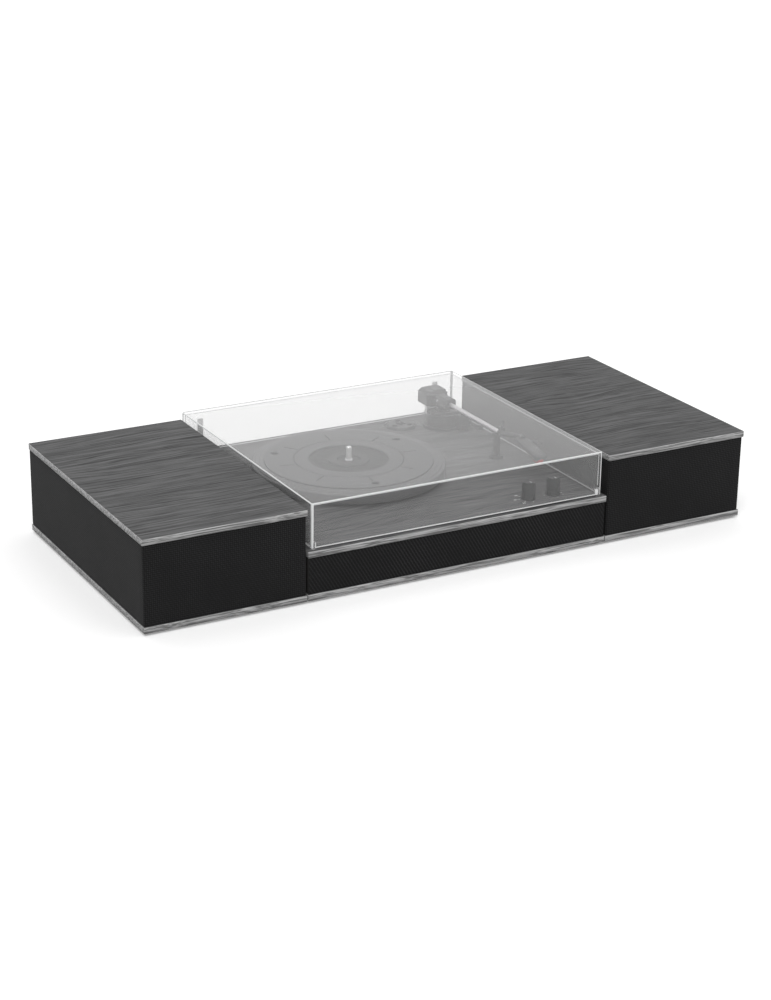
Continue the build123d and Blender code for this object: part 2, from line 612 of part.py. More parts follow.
def single_adapter():
    """Round centre adapter for singles, which lies loose in its well."""
    low = DECK_TOP - WELL_DEPTH + 0.2
    puck = post(ADAPTER_X, ADAPTER_Y, low, low + 2.2, ADAPTER_RADIUS)
    puck += post(ADAPTER_X, ADAPTER_Y, low + 2.2, low + 5.2, ADAPTER_RADIUS, ADAPTER_RADIUS - 1.4)
    puck -= post(ADAPTER_X, ADAPTER_Y, low + 3.4, low + 6, 6.5)
    for x, y in ring_places(3, 12.2, 80.0, ADAPTER_X, ADAPTER_Y):
        puck -= post(x, y, low + 2.6, low + 6, 3.6)
    return puck - post(ADAPTER_X, ADAPTER_Y, low - 1, low + 7, 3.65)


# Electronics

BOARD_LOW = BASE_TOP + 6.0
BOARD_X0, BOARD_X1, BOARD_Y0, BOARD_Y1 = -50.0, 145.0, 62.0, 150.0
BOARD_TOP = BOARD_LOW + 1.6


def amplifier_board():
    board = block(BOARD_X0, BOARD_X1, BOARD_Y0, BOARD_Y1, BOARD_LOW, BOARD_TOP)
    for x, y in board_corners():
        board -= post(x, y, BOARD_LOW - 1, BOARD_TOP + 1, 1.6)
    return board


def board_corners():
    for x in (BOARD_X0 + 6, BOARD_X1 - 6):
        for y in (BOARD_Y0 + 6, BOARD_Y1 - 6):
            yield x, y


def board_standoffs():
    for x, y in board_corners():
        spacer = post(x, y, BASE_TOP, BOARD_LOW, 3.4)
        spacer += post(x, y, BOARD_LOW, BOARD_TOP, 1.5)
        yield spacer + post(x, y, BOARD_TOP, BOARD_TOP + 1.8, 2.8)


def board_parts():
    """Heat sink with fins, capacitors, coils and the radio module on the board."""
    sink = block(60, 100, 72, 90, BOARD_TOP, BOARD_TOP + 4)
    for k in range(7):
        x = 60 + 6.4 * k
        sink += block(x, x + 1.6, 72, 90, BOARD_TOP + 4, BOARD_TOP + 20)
    yield sink
    for x, y, radius, height in ((20, 82, 6.5, 20), (36, 82, 6.5, 20), (118, 84, 5, 14), (118, 100, 5, 14)):
        yield post(x, y, BOARD_TOP, BOARD_TOP + height, radius)
    for x in (20, 45):
        yield block(x - 7, x + 7, 108, 122, BOARD_TOP, BOARD_TOP + 9)
    yield block(-40, -12, 100, 122, BOARD_TOP, BOARD_TOP + 3)


# Clear cover


def bumper_places():
    for side in (-1, 1):
        for y in (cover_front() + 3.4, cover_front() + COVER_DEPTH - 3.4):
            yield side * (COVER_WIDTH / 2 - 3.4), y


def cover_front():
    return FRONT + COVER_FRONT_INSET


def dust_cover():
    """Clear box, open below, with its corners notched for the bumpers."""
    half, y0 = COVER_WIDTH / 2, cover_front()
    y1 = y0 + COVER_DEPTH
    cover = block(-half, half, y0, y1, COVER_BOTTOM, COVER_TOP)
    cover = fillet(cover.edges().filter_by(Axis.Z), 2.5)
    cover = fillet(cover.faces().sort_by(Axis.Z)[-1].edges(), 1.2)
    inner = half - COVER_WALL
    cover -= block(
        -inner, inner, y0 + COVER_WALL, y1 - COVER_WALL, COVER_BOTTOM - 1, COVER_TOP - COVER_WALL
    )
    for x, y in bumper_places():
        cover -= post(x, y, COVER_BOTTOM - 1, DECK_TOP + BUMPER_HEIGHT, BUMPER_RADIUS)
    return cover


def cover_bumpers():
    for x, y in bumper_places():
        pad = post(x, y, DECK_TOP + 0.25, DECK_TOP + BUMPER_HEIGHT, BUMPER_RADIUS)
        yield chamfer(pad.edges().group_by(Axis.Z)[0], 0.6)


HINGE_HALF = 11.0
LEAF_HALF, TONGUE_HALF, TONGUE_HEIGHT = 6.0, 3.5, 36.0
HINGE_BARREL = 3.6
COVER_REAR = FRONT + COVER_FRONT_INSET + COVER_DEPTH


def hinge_brackets():
    """Fixed knuckles on plates let down behind the deck board's rear edge."""
    for side in (-1, 1):
        x = side * HINGE_X
        bracket = block(x - HINGE_HALF, x + HINGE_HALF, COVER_REAR + 1.2, BACK, DECK_TOP, DECK_TOP + 2)
        for end in (-1, 1):
            x0, x1 = sorted((x + end * (LEAF_HALF + 0.3), x + end * HINGE_HALF))
            knuckle = rod_x(HINGE_Y, HINGE_Z, x0, x1, HINGE_BARREL)
            bracket += knuckle + block(x0, x1, HINGE_Y - 3, HINGE_Y + 3, DECK_TOP, HINGE_Z)
        yield bracket - rod_x(HINGE_Y, HINGE_Z, x - 12, x + 12, 1.5)


def hinge_pins():
    for side in (-1, 1):
        x = side * HINGE_X
        yield rod_x(HINGE_Y, HINGE_Z, x - HINGE_HALF, x + HINGE_HALF, 1.5)


def hinge_leaves():
    """Moving knuckle, with the tongue that the cover's rear wall is bonded to."""
    for side in (-1, 1):
        x = side * HINGE_X
        leaf = rod_x(HINGE_Y, HINGE_Z, x - LEAF_HALF, x + LEAF_HALF, HINGE_BARREL)
        leaf += block(x - LEAF_HALF, x + LEAF_HALF, COVER_REAR, HINGE_Y, HINGE_Z - 1, HINGE_Z + 3.6)
        x0, x1 = x - TONGUE_HALF, x + TONGUE_HALF
        leaf += block(x0, x1, COVER_REAR, COVER_REAR + 2.5, HINGE_Z, HINGE_Z + TONGUE_HEIGHT)
        yield leaf - rod_x(HINGE_Y, HINGE_Z, x - 12, x + 12, 1.5 + RUNNING_GAP)


# Loudspeakers

SPEAKER_FRONT = FRONT
SPEAKER_BACK = FRONT + SPEAKER_DEPTH
SPEAKER_CLOTH = 1.0
SPEAKER_INSET = 0.9
BOX_TOP = SPEAKER_TOP - BOARD
DRIVER_Z = (BASE_TOP + BOX_TOP) / 2
DRIVER_RADIUS = 42.0
CONE_RADIUS = 33.0
PLATE_WIDE, PLATE_HIGH = 60.0, 50.0
BAFFLE_Y = SPEAKER_FRONT + SPEAKER_INSET + SPEAKER_CLOTH


def speaker_board(middle, z0):
    half = SPEAKER_WIDTH / 2
    return softened(
        block(middle - half, middle + half, SPEAKER_FRONT, SPEAKER_BACK, z0, z0 + BOARD)
    )


def speaker_box(middle):
    """Wooden box with a rebated hole for the driver and a cut-out for the terminals."""
    half = SPEAKER_WIDTH / 2 - SPEAKER_INSET - SPEAKER_CLOTH
    back = SPEAKER_BACK - SPEAKER_INSET
    box = block(middle - half, middle + half, BAFFLE_Y, back, BASE_TOP, BOX_TOP)
    box = rounded(box, radius=2.0)
    box -= block(
        middle - half + SPEAKER_WALL,
        middle + half - SPEAKER_WALL,
        BAFFLE_Y + SPEAKER_WALL,
        back - SPEAKER_WALL,
        BASE_TOP + 3,
        BOX_TOP - 3,
    )
    box -= rod_y(middle, DRIVER_Z, BAFFLE_Y - 1, BAFFLE_Y + SPEAKER_WALL + 1, DRIVER_RADIUS - 4)
    box -= rod_y(middle, DRIVER_Z, BAFFLE_Y - 1, BAFFLE_Y + 3.5, DRIVER_RADIUS + 0.2)
    box -= block(
        middle - PLATE_WIDE / 2 + 5,
        middle + PLATE_WIDE / 2 - 5,
        back - SPEAKER_WALL - 1,
        back + 1,
        DRIVER_Z - PLATE_HIGH / 2 + 5,
        DRIVER_Z + PLATE_HIGH / 2 - 5,
    )
    return box


def speaker_cloth(middle):
    """Cloth sleeve round the front and both sides, with softly rounded corners."""
    outer = SPEAKER_WIDTH / 2 - SPEAKER_INSET
    inner = outer - SPEAKER_CLOTH
    y0, y1 = SPEAKER_FRONT + SPEAKER_INSET, SPEAKER_BACK - SPEAKER_INSET
    sleeve = block(middle - outer, middle + outer, y0, y1 + 10, BASE_TOP, BOX_TOP)
    sleeve = rounded(sleeve, radius=3.0)
    core = block(middle - inner, middle + inner, BAFFLE_Y, y1 + 20, BASE_TOP - 1, BOX_TOP + 1)
    core = rounded(core, radius=2.0)
    return sleeve - core - block(middle - 120, middle + 120, y1, y1 + 30, 0, SPEAKER_TOP)


def driver_frame(middle):
    """Pressed frame with its flange in the baffle, and the magnet behind it."""
    y0 = BAFFLE_Y + 0.3
    frame = rod_y(middle, DRIVER_Z, y0, y0 + 3, DRIVER_RADIUS)
    frame += rod_y(middle, DRIVER_Z, y0 + 3, y0 + 26, 22.0, DRIVER_RADIUS - 5)
    frame -= rod_y(middle, DRIVER_Z, y0 - 1, y0 + 3, CONE_RADIUS + 3)
    frame -= rod_y(middle, DRIVER_Z, y0 + 3, y0 + 24, 20.0, CONE_RADIUS + 2.5)
    yield frame
    yield rod_y(middle, DRIVER_Z, y0 + 26, y0 + 42, 30.0)


def driver_cone(middle):
    """Paper cone with its roll surround and dust cap, all in one moulding."""
    y0 = BAFFLE_Y + 1.0
    outer = CONE_RADIUS + 2.8
    depth = 14.0
    profile = Polyline(
        (0, 5.0),
        (6, 5.6),
        (10, 8.5),
        (CONE_RADIUS - 5, 2.4),
        (CONE_RADIUS - 2, 0.4),
        (CONE_RADIUS, 0),
        (outer, 1.8),
        (outer, 2.3),
        (CONE_RADIUS, 1.2),
        (CONE_RADIUS - 5, 4.0),
        (11, depth - 2),
        (0, depth - 2),
        close=True,
    )
    cone = revolve(make_face(profile), Axis.Y)
    return Pos(middle, y0, DRIVER_Z) * cone


def terminal_plate(middle):
    """Rear plate in the cut-out, with its two sockets."""
    back = SPEAKER_BACK - SPEAKER_INSET
    half_wide, half_high = PLATE_WIDE / 2, PLATE_HIGH / 2
    plate = block(
        middle - half_wide, middle + half_wide, back, back + 0.8, DRIVER_Z - half_high, DRIVER_Z + half_high
    )
    plate += block(
        middle - half_wide + 5.3,
        middle + half_wide - 5.3,
        back - 8,
        back,
        DRIVER_Z - half_high + 5.3,
        DRIVER_Z + half_high - 5.3,
    )
    plate -= block(middle - 20, middle + 20, back - 6, back + 1, DRIVER_Z - 14, DRIVER_Z + 14)
    for x in (middle - 9, middle + 9):
        plate += rod_y(x, DRIVER_Z, back - 6, back + 0.5, JACK_RADIUS)
        plate -= rod_y(x, DRIVER_Z, back - 5, back + 2, 1.7)
    return plate


def speaker(side, name):
    """All the pieces of one loudspeaker."""
    middle = side * (SIDE + SPEAKER_GAP + SPEAKER_WIDTH / 2)
    save(f"{name}_top_board", speaker_board(middle, BOX_TOP))
    save(f"{name}_base_board", speaker_board(middle, FOOT_HEIGHT))
    save(f"{name}_box", speaker_box(middle))
    save(f"{name}_cloth", speaker_cloth(middle))
    save(f"{name}_driver_frame", *driver_frame(middle))
    save(f"{name}_driver_cone", driver_cone(middle))
    save(f"{name}_terminal_plate", terminal_plate(middle))
    places = foot_places(SPEAKER_WIDTH / 2, SPEAKER_FRONT, SPEAKER_BACK, middle)
    save(f"{name}_feet", *feet(places))


def player():
    """All the pieces of the player."""
    save("base_board", base_board())
    save("deck_board", deck_board())
    save("side_walls", *side_walls())
    save("front_baffle", front_baffle())
    save("front_cloth", front_cloth())
    save("rear_panel", rear_panel())
    save("rear_sockets", *sockets())
    save("power_inlet", power_inlet())
    save("player_feet", *feet(foot_places(SIDE, FRONT, BACK)))
    save("cabinet_screws", *cabinet_screws())
    save("bearing_housing", bearing_housing())
    save("spindle", spindle())
    save("platter", platter())
    save("platter_mat", platter_mat())
    save("motor", motor())
    save("motor_screws", *motor_screws())
    save("motor_pulley", motor_pulley())
    save("drive_belt", drive_belt())
    save("arm_base", arm_base())
    save("arm_yoke", arm_yoke())
    save("pivot_block", pivot_block())
    save("pivot_pins", *pivot_pins())
    save("arm_tube", arm_tube())
    save("arm_neck", arm_neck())
    save("headshell", headshell())
    save("cartridge", cartridge())
    save("stylus", stylus())
    save("counterweight", counterweight())
    save("cue_lift", cue_lift())
    save("cue_lever", cue_lever())
    save("arm_rest", *arm_rest())
    save("rest_clip", rest_clip())
    save("control_bodies", *control_bodies())
    save("speed_knob", knob(SPEED_KNOB_X))
    save("volume_knob", knob(VOLUME_KNOB_X))
    save("single_adapter", single_adapter())
    save("amplifier_board", amplifier_board())
    save("board_standoffs", *board_standoffs())
    save("board_parts", *board_parts())
    save("dust_cover", dust_cover())
    save("cover_bumpers", *cover_bumpers())
    save("hinge_brackets", *hinge_brackets())
    save("hinge_pins", *hinge_pins())
    save("hinge_leaves", *hinge_leaves())


os.makedirs("parts", exist_ok=True)
player()
speaker(-1, "left")
speaker(1, "right")
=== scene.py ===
import math

import bmesh
import bpy
from mathutils import Matrix, Vector


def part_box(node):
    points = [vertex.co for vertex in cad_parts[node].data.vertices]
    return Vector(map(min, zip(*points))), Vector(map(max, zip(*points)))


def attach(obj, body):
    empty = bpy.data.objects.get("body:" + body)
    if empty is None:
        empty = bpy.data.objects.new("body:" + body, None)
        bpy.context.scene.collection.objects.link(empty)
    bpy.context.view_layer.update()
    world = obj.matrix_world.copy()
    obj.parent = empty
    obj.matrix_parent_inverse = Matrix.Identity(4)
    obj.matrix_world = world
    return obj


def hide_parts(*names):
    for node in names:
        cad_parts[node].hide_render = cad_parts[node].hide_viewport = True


bl_info = {
    "name": "Record Player Dresser",
    "version": (1, 0, 0),
    "blender": (4, 5, 0),
    "location": "3D View > Sidebar > Record player",
    "description": "Gives a record player and its two loudspeaker boxes their cloth, grain and fine parts",
    "category": "Object",
}

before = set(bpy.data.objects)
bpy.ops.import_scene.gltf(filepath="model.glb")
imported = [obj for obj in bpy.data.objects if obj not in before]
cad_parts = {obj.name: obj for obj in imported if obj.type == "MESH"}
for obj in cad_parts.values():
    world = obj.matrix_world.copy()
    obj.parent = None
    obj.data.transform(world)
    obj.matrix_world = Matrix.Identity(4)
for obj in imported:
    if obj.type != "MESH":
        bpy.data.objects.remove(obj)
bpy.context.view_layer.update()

MM = 0.001
COVER_WALL, COVER_BEAD, BEAD_FOOT = 3.0, 0.6, 12.0
ACRYLIC_IOR = 1.49
GLOSS_SHARE, RUBBED_SHARE, RUBBED_FLOOR = 0.82, 0.8, 0.03
REFRACTED_SHARE = 0.008
KNOT = (0.285, 0.03, 0.117)
# The first two colours are painted light on the boards' edges: a painted highlight along the top and painted
# shade towards the foot. The third is the pores' own colour.
PAINTED_TOP_HIGHLIGHT, SHADED_FOOT, PORE_FILL = (0.62, 0.62, 0.62), (0.05, 0.05, 0.05), (0.02, 0.02, 0.02)
# Depths below the mat's top over which the painted shade in its grooves fades out.
GROOVE_SPAN = (1.4, 0.1)
RIB_CIRCLE, RIB_RADIUS, RIB_LENGTH, RIB_DROP = 7.9, 0.28, 13.0, 9.0
MARK_CIRCLE, FIGURE_CIRCLE, FIGURE_HEIGHT, PRINT_LIFT = 12.2, 17.0, 4.4, 0.03
SPEED_MARKS = (270.0, 220.0, 170.0, 120.0)
VOLUME_MARKS, VOLUME_STEP = 11, 30.0
FIGURES = (("33", 220.0), ("45", 170.0), ("78", 120.0))
PANEL_SCREWS = (-150.0, -75.0, 105.0, 165.0)
COLLARS = (("red", (0.5, 0.02, 0.02), (-12.0, 58.0)), ("white", (0.75, 0.75, 0.74), (-30.0, 40.0)))
LAMPS = (
    ("key", (-1.2, -1.6, 2.6), 1.15, 35.0, True),
    ("fill", (1.8, -1.2, 2.0), 0.4, 60.0, False),
    ("back", (0.4, 2.0, 2.2), 0.4, 60.0, False),
)
CAMERA_RIGHT = Vector((0.87786, -0.47873, 0.01338))
CAMERA_UP = Vector((0.15942, 0.31849, 0.93447))
CAMERA_FORWARD = Vector((0.45160, 0.81816, -0.35591))
FIELD = {"COLOR": "NodeSocketColor", "VALUE": "NodeSocketFloat", "VECTOR": "NodeSocketVector"}


def low(node):
    """Lowest corner of a node."""
    return Vector(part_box(node)[0])


def high(node):
    """Highest corner of a node."""
    return Vector(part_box(node)[1])


def middle(node):
    """Centre of a node's box."""
    return (low(node) + high(node)) / 2


# Settings


class WoodSettings(bpy.types.PropertyGroup):
    face: bpy.props.FloatVectorProperty(
        name="Face colour",
        description="Stained colour of the boards' broad faces",
        subtype="COLOR",
        size=3,
        default=(0.072, 0.072, 0.073),
    )
    edge: bpy.props.FloatVectorProperty(
        name="Edge colour",
        description="Colour of the boards' narrow edges, where less stain has taken",
        subtype="COLOR",
        size=3,
        default=(0.30, 0.30, 0.30),
    )
    contrast: bpy.props.FloatProperty(
        name="Grain contrast",
        description="How strongly the grain shows in the stain",
        subtype="FACTOR",
        min=0.0,
        max=1.0,
        default=0.72,
    )


class ClothSettings(bpy.types.PropertyGroup):
    colour: bpy.props.FloatVectorProperty(
        name="Thread colour",
        description="Colour of the grille cloth's threads",
        subtype="COLOR",
        size=3,
        default=(0.0085, 0.0085, 0.009),
    )
    player_pitch: bpy.props.FloatProperty(
        name="Player cloth pitch",
        description="Spacing of the twill's ridges on the player's front",
        subtype="DISTANCE",
        unit="LENGTH",
        default=4.4 * MM,
    )
    speaker_pitch: bpy.props.FloatProperty(
        name="Loudspeaker cloth pitch",
        description="Spacing of two stitches on the loudspeakers",
        subtype="DISTANCE",
        unit="LENGTH",
        default=5.0 * MM,
    )


class CoverSettings(bpy.types.PropertyGroup):
    tint: bpy.props.FloatVectorProperty(
        name="Acrylic tint",
        description="Colour of the clear cover",
        subtype="COLOR",
        size=3,
        default=(0.975, 0.98, 0.98),
    )
    gloss: bpy.props.FloatProperty(
        name="Acrylic roughness",
        description="Roughness of the cover's polished faces",
        subtype="FACTOR",
        min=0.0,
        max=1.0,
        default=0.015,
    )
    edge: bpy.props.FloatVectorProperty(
        name="Edge colour",
        description="Colour of the light gathered in the cover's edges",
        subtype="COLOR",
        size=3,
        default=(0.72, 0.73, 0.73),
    )


class DeckSettings(bpy.types.PropertyGroup):
    mat: bpy.props.FloatVectorProperty(
        name="Mat colour",
        description="Colour of the rubber platter mat",
        subtype="COLOR",
        size=3,
        default=(0.085, 0.085, 0.087),
    )
    platter: bpy.props.FloatVectorProperty(
        name="Platter colour",
        description="Colour of the turned platter",
        subtype="COLOR",
        size=3,
        default=(0.075, 0.075, 0.077),
    )
    moulding: bpy.props.FloatVectorProperty(
        name="Moulding colour",
        description="Colour of the black mouldings of the arm and knobs",
        subtype="COLOR",
        size=3,
        default=(0.02, 0.02, 0.021),
    )
    knob_ribs: bpy.props.IntProperty(
        name="Knob ribs", description="Fine ribs round each knob's grip", min=12, default=54
    )


class StageSettings(bpy.types.PropertyGroup):
    eye: bpy.props.FloatVectorProperty(
        name="Eye",
        description="Where the camera stands",
        subtype="TRANSLATION",
        unit="LENGTH",
        size=3,
        default=(-1.28927, -2.33533, 1.04502),
    )
    lens: bpy.props.FloatProperty(
        name="Lens", description="Focal length in millimetres", default=81.446, min=10.0
    )
    floor: bpy.props.FloatVectorProperty(
        name="Floor colour",
        description="Colour of the plain floor",
        subtype="COLOR",
        size=3,
        default=(0.88, 0.88, 0.88),
    )
    sky: bpy.props.FloatProperty(
        name="Sky strength",
        description="Soft light from all round",
        subtype="FACTOR",
        default=0.58,
        min=0.0,
    )


# Node building


class Net:
    """Adds and joins nodes in one tree."""

    def __init__(self, tree):
        self.tree = tree

    def feed(self, socket, value):
        if isinstance(value, bpy.types.NodeSocket):
            self.tree.links.new(value, socket)
        elif isinstance(value, (tuple, list)) and len(value) == 3 and len(socket.default_value) == 4:
            socket.default_value = (*value, 1.0)
        else:
            socket.default_value = value

    def add(self, kind, values=None, **settings):
        node = self.tree.nodes.new(kind)
        for key, value in settings.items():
            setattr(node, key, value)
        for key, value in (values or {}).items():
            self.feed(node.inputs[key], value)
        return node

    def math(self, operation, a, b=0.0, clamp=False):
        node = self.add("ShaderNodeMath", {0: a, 1: b}, operation=operation, use_clamp=clamp)
        return node.outputs[0]

    def span(self, value, from_low, from_high, to_low=0.0, to_high=1.0, smooth=False):
        node = self.add(
            "ShaderNodeMapRange",
            {"Value": value, 1: from_low, 2: from_high, 3: to_low, 4: to_high},
            interpolation_type="SMOOTHSTEP" if smooth else "LINEAR",
        )
        return node.outputs["Result"]

    def noise(self, vector, scale, detail=2.0, rough=0.5, twist=0.0):
        values = {
            "Vector": vector,
            "Scale": scale,
            "Detail": detail,
            "Roughness": rough,
            "Distortion": twist,
        }
        return self.add("ShaderNodeTexNoise", values).outputs[0]

    def mix(self, factor, a, b, blend="MIX"):
        node = self.add("ShaderNodeMix", data_type="RGBA", blend_type=blend)
        for place, value in ((0, factor), (6, a), (7, b)):
            self.feed(node.inputs[place], value)
        return node.outputs[2]

    def stretch(self, vector, scale, move=(0.0, 0.0, 0.0), turn=(0.0, 0.0, 0.0)):
        values = {"Vector": vector, "Scale": scale, "Location": move, "Rotation": turn}
        return self.add("ShaderNodeMapping", values).outputs[0]


def effect(name, inputs, outputs):
    """A new shader group, its net and its input and output nodes."""
    tree = bpy.data.node_groups.new(name, "ShaderNodeTree")
    for label, kind, default in inputs:
        socket = tree.interface.new_socket(label, in_out="INPUT", socket_type=FIELD[kind])
        socket.default_value = default
    for label, kind in outputs:
        tree.interface.new_socket(label, in_out="OUTPUT", socket_type=FIELD[kind])
    net = Net(tree)
    return tree, net, net.add("NodeGroupInput").outputs, net.add("NodeGroupOutput").inputs


def grain_effect():
    """Open wood grain along X: broad bands, fine streaks and short dark pores."""
    inputs = [("Vector", "VECTOR", (0, 0, 0)), ("Knot", "VECTOR", (9.0, 9.0, 9.0))]
    outputs = [("Tone", "VALUE"), ("Pores", "VALUE"), ("Height", "VALUE")]
    tree, net, given, result = effect("open grain", inputs, outputs)
    place = given["Vector"]
    away = net.add("ShaderNodeVectorMath", {0: place, 1: given["Knot"]}, operation="SUBTRACT").outputs[0]
    squeezed = net.stretch(away, (1.0, 2.6, 1.0))
    distance = net.add("ShaderNodeVectorMath", {0: squeezed}, operation="LENGTH").outputs["Value"]
    swell = net.span(distance, 0.0, 0.09, 1.0, 0.0, smooth=True)
    wander = net.noise(net.stretch(place, (2.2, 7.0, 7.0)), 1.6, 2.0, 0.5)
    split = net.add("ShaderNodeSeparateXYZ", {0: place}).outputs
    side = net.add("ShaderNodeSeparateXYZ", {0: away}).outputs[1]
    push = net.math("MULTIPLY", net.math("MULTIPLY", side, swell), -0.75)
    across = net.math("ADD", net.math("ADD", split[1], push), net.math("MULTIPLY", wander, 0.05))
    flow = net.add("ShaderNodeCombineXYZ", {0: split[0], 1: across, 2: split[2]}).outputs[0]
    broad = net.noise(net.stretch(flow, (1.1, 38.0, 38.0)), 1.0, 3.0, 0.55)
    fine = net.noise(net.stretch(flow, (12.0, 560.0, 760.0)), 1.0, 2.0, 0.6)
    hair = net.noise(net.stretch(flow, (9.0, 440.0, 600.0)), 1.0, 2.0, 0.5)
    dashes = net.noise(net.stretch(flow, (26.0, 560.0, 760.0)), 1.0, 1.0, 0.4)
    pores = net.span(dashes, 0.60, 0.70, smooth=True)
    banded = net.span(broad, 0.32, 0.68)
    streaks = net.span(fine, 0.3, 0.7)
    tone = net.math("ADD", net.math("MULTIPLY", banded, 0.1), net.math("MULTIPLY", streaks, 0.78))
    tone = net.math("ADD", tone, net.math("MULTIPLY", hair, 0.24))
    ring = net.math("SINE", net.math("MULTIPLY", distance, 900.0))
    eye = net.math("MULTIPLY", net.span(distance, 0.0, 0.035, 1.0, 0.0, smooth=True), 0.16)
    tone = net.math("SUBTRACT", tone, net.math("MULTIPLY", eye, net.span(ring, -1.0, 1.0, 0.4, 1.0)))
    net.feed(result["Tone"], net.span(tone, 0.2, 0.9))
    net.feed(result["Pores"], pores)
    height = net.math("SUBTRACT", net.math("MULTIPLY", fine, 0.6), net.math("MULTIPLY", pores, 0.7))
    net.feed(result["Height"], height)
    return tree


def weave_effect():
    """Cloth on a flat map in metres: slanted twill ridges and single stitches."""
    inputs = [
        ("Map", "VECTOR", (0, 0, 0)),
        ("Pitch", "VALUE", 2 * MM),
        ("Slub", "VALUE", 0.2),
        ("Twill", "VALUE", 0.6),
    ]
    outputs = [("Ridge", "VALUE"), ("Shade", "VALUE"), ("Height", "VALUE")]
    tree, net, given, result = effect("grille weave", inputs, outputs)
    flat = net.add("ShaderNodeVectorMath", {0: given["Map"]}, operation="DIVIDE")
    pitch = given["Pitch"]
    net.feed(flat.inputs[1], net.add("ShaderNodeCombineXYZ", {0: pitch, 1: pitch, 2: pitch}).outputs[0])
    stray = net.noise(flat.outputs[0], 0.45, 2.0, 0.6)
    part = net.add("ShaderNodeSeparateXYZ", {0: flat.outputs[0]}).outputs
    slant = net.math("ADD", part[0], net.math("MULTIPLY", part[1], 0.62))
    slant = net.math("ADD", slant, net.math("MULTIPLY", stray, given["Slub"]))
    ridge = net.math("SINE", net.math("MULTIPLY", slant, 2 * math.pi))
    stitch = net.math("SINE", net.math("MULTIPLY", part[1], 4 * math.pi))
    warp = net.math("SINE", net.math("MULTIPLY", part[0], 4 * math.pi))
    dots = net.math("ADD", net.math("MULTIPLY", stitch, 0.55), net.math("MULTIPLY", warp, 0.45))
    plain = net.math("SUBTRACT", 1.0, given["Twill"])
    body = net.math("ADD", net.math("MULTIPLY", ridge, given["Twill"]), net.math("MULTIPLY", dots, plain))
    height = net.span(body, -1.0, 1.0)
    net.feed(result["Ridge"], net.span(height, 0.4, 0.85, smooth=True))
    net.feed(result["Shade"], net.span(net.noise(flat.outputs[0], 0.05, 3.0, 0.6), 0.3, 0.7))
    net.feed(result["Height"], height)
    return tree


def grit_effect():
    """Fine unevenness of a moulded or painted surface, with faint handling marks."""
    inputs = [("Vector", "VECTOR", (0, 0, 0)), ("Fineness", "VALUE", 1500.0)]
    outputs = [("Fine", "VALUE"), ("Smudge", "VALUE"), ("Height", "VALUE")]
    tree, net, given, result = effect("surface grit", inputs, outputs)
    place = given["Vector"]
    fine = net.noise(place, given["Fineness"], 2.0, 0.6)
    smudge = net.noise(net.stretch(place, (1.0, 1.6, 1.0)), 26.0, 4.0, 0.6, 0.6)
    net.feed(result["Fine"], fine)
    net.feed(result["Smudge"], net.span(smudge, 0.35, 0.7))
    net.feed(result["Height"], fine)
    return tree


def lathe_effect():
    """Rings left by turning round the Z axis of the map."""
    inputs = [("Vector", "VECTOR", (0, 0, 0)), ("Pitch", "VALUE", 0.6 * MM)]
    outputs = [("Ring", "VALUE"), ("Uneven", "VALUE"), ("Height", "VALUE")]
    tree, net, given, result = effect("lathe rings", inputs, outputs)
    part = net.add("ShaderNodeSeparateXYZ", {0: given["Vector"]}).outputs
    flat = net.add("ShaderNodeCombineXYZ", {0: part[0], 1: part[1], 2: 0.0}).outputs[0]
    radius = net.add("ShaderNodeVectorMath", {0: flat}, operation="LENGTH").outputs["Value"]
    travel = net.math("ADD", radius, part[2])
    count = net.math("DIVIDE", travel, given["Pitch"])
    ring = net.math("SINE", net.math("MULTIPLY", count, 2 * math.pi))
    line = net.add("ShaderNodeCombineXYZ", {0: travel, 1: 0.0, 2: 0.0}).outputs[0]
    uneven = net.noise(line, 700.0, 3.0, 0.6)
    net.feed(result["Ring"], net.span(ring, -1.0, 1.0))
    net.feed(result["Uneven"], uneven)
    net.feed(result["Height"], net.math("ADD", net.span(ring, -1.0, 1.0), uneven))
    return tree


EFFECTS = {}


def use_effect(net, name, values):
    """Places a shared effect, made the first time that it is asked for."""
    makers = {
        "grain": grain_effect,
        "weave": weave_effect,
        "grit": grit_effect,
        "lathe": lathe_effect,
    }
    if name not in EFFECTS:
        EFFECTS[name] = makers[name]()
    node = net.add("ShaderNodeGroup", node_tree=EFFECTS[name])
    for key, value in values.items():
        net.feed(node.inputs[key], value)
    return node.outputs


def blank(name):
    """A material, its net and its shader."""
    material = bpy.data.materials.new(name)
    material.use_nodes = True
    net = Net(material.node_tree)
    return material, net, material.node_tree.nodes["Principled BSDF"]


def object_place(net):
    return net.add("ShaderNodeTexCoord").outputs["Object"]


def bumped(net, shader, height, strength, distance):
    values = {"Height": height, "Strength": strength, "Distance": distance}
    net.feed(shader.inputs["Normal"], net.add("ShaderNodeBump", values).outputs[0])


def moulded(name, colour, rough=0.5, metal=0.0, fineness=1500.0, relief=0.25, mottle=0.12):
    """Moulded, painted or cast finish with grit, handling marks and a little mottle."""
    material, net, shader = blank(name)
    grit = use_effect(net, "grit", {"Vector": object_place(net), "Fineness": fineness})
    darker = tuple(c * (1 - mottle) for c in colour)
    lighter = tuple(min(1.0, c * (1 + 1.6 * mottle)) for c in colour)
    net.feed(shader.inputs["Base Color"], net.mix(grit["Fine"], darker, lighter))
    uneven = net.math("MULTIPLY", grit["Smudge"], 0.12)
    net.feed(shader.inputs["Roughness"], net.math("ADD", uneven, max(rough - 0.05, 0.02), clamp=True))
    shader.inputs["Metallic"].default_value = metal
    bumped(net, shader, grit["Height"], relief, 0.15 * MM)
    return material


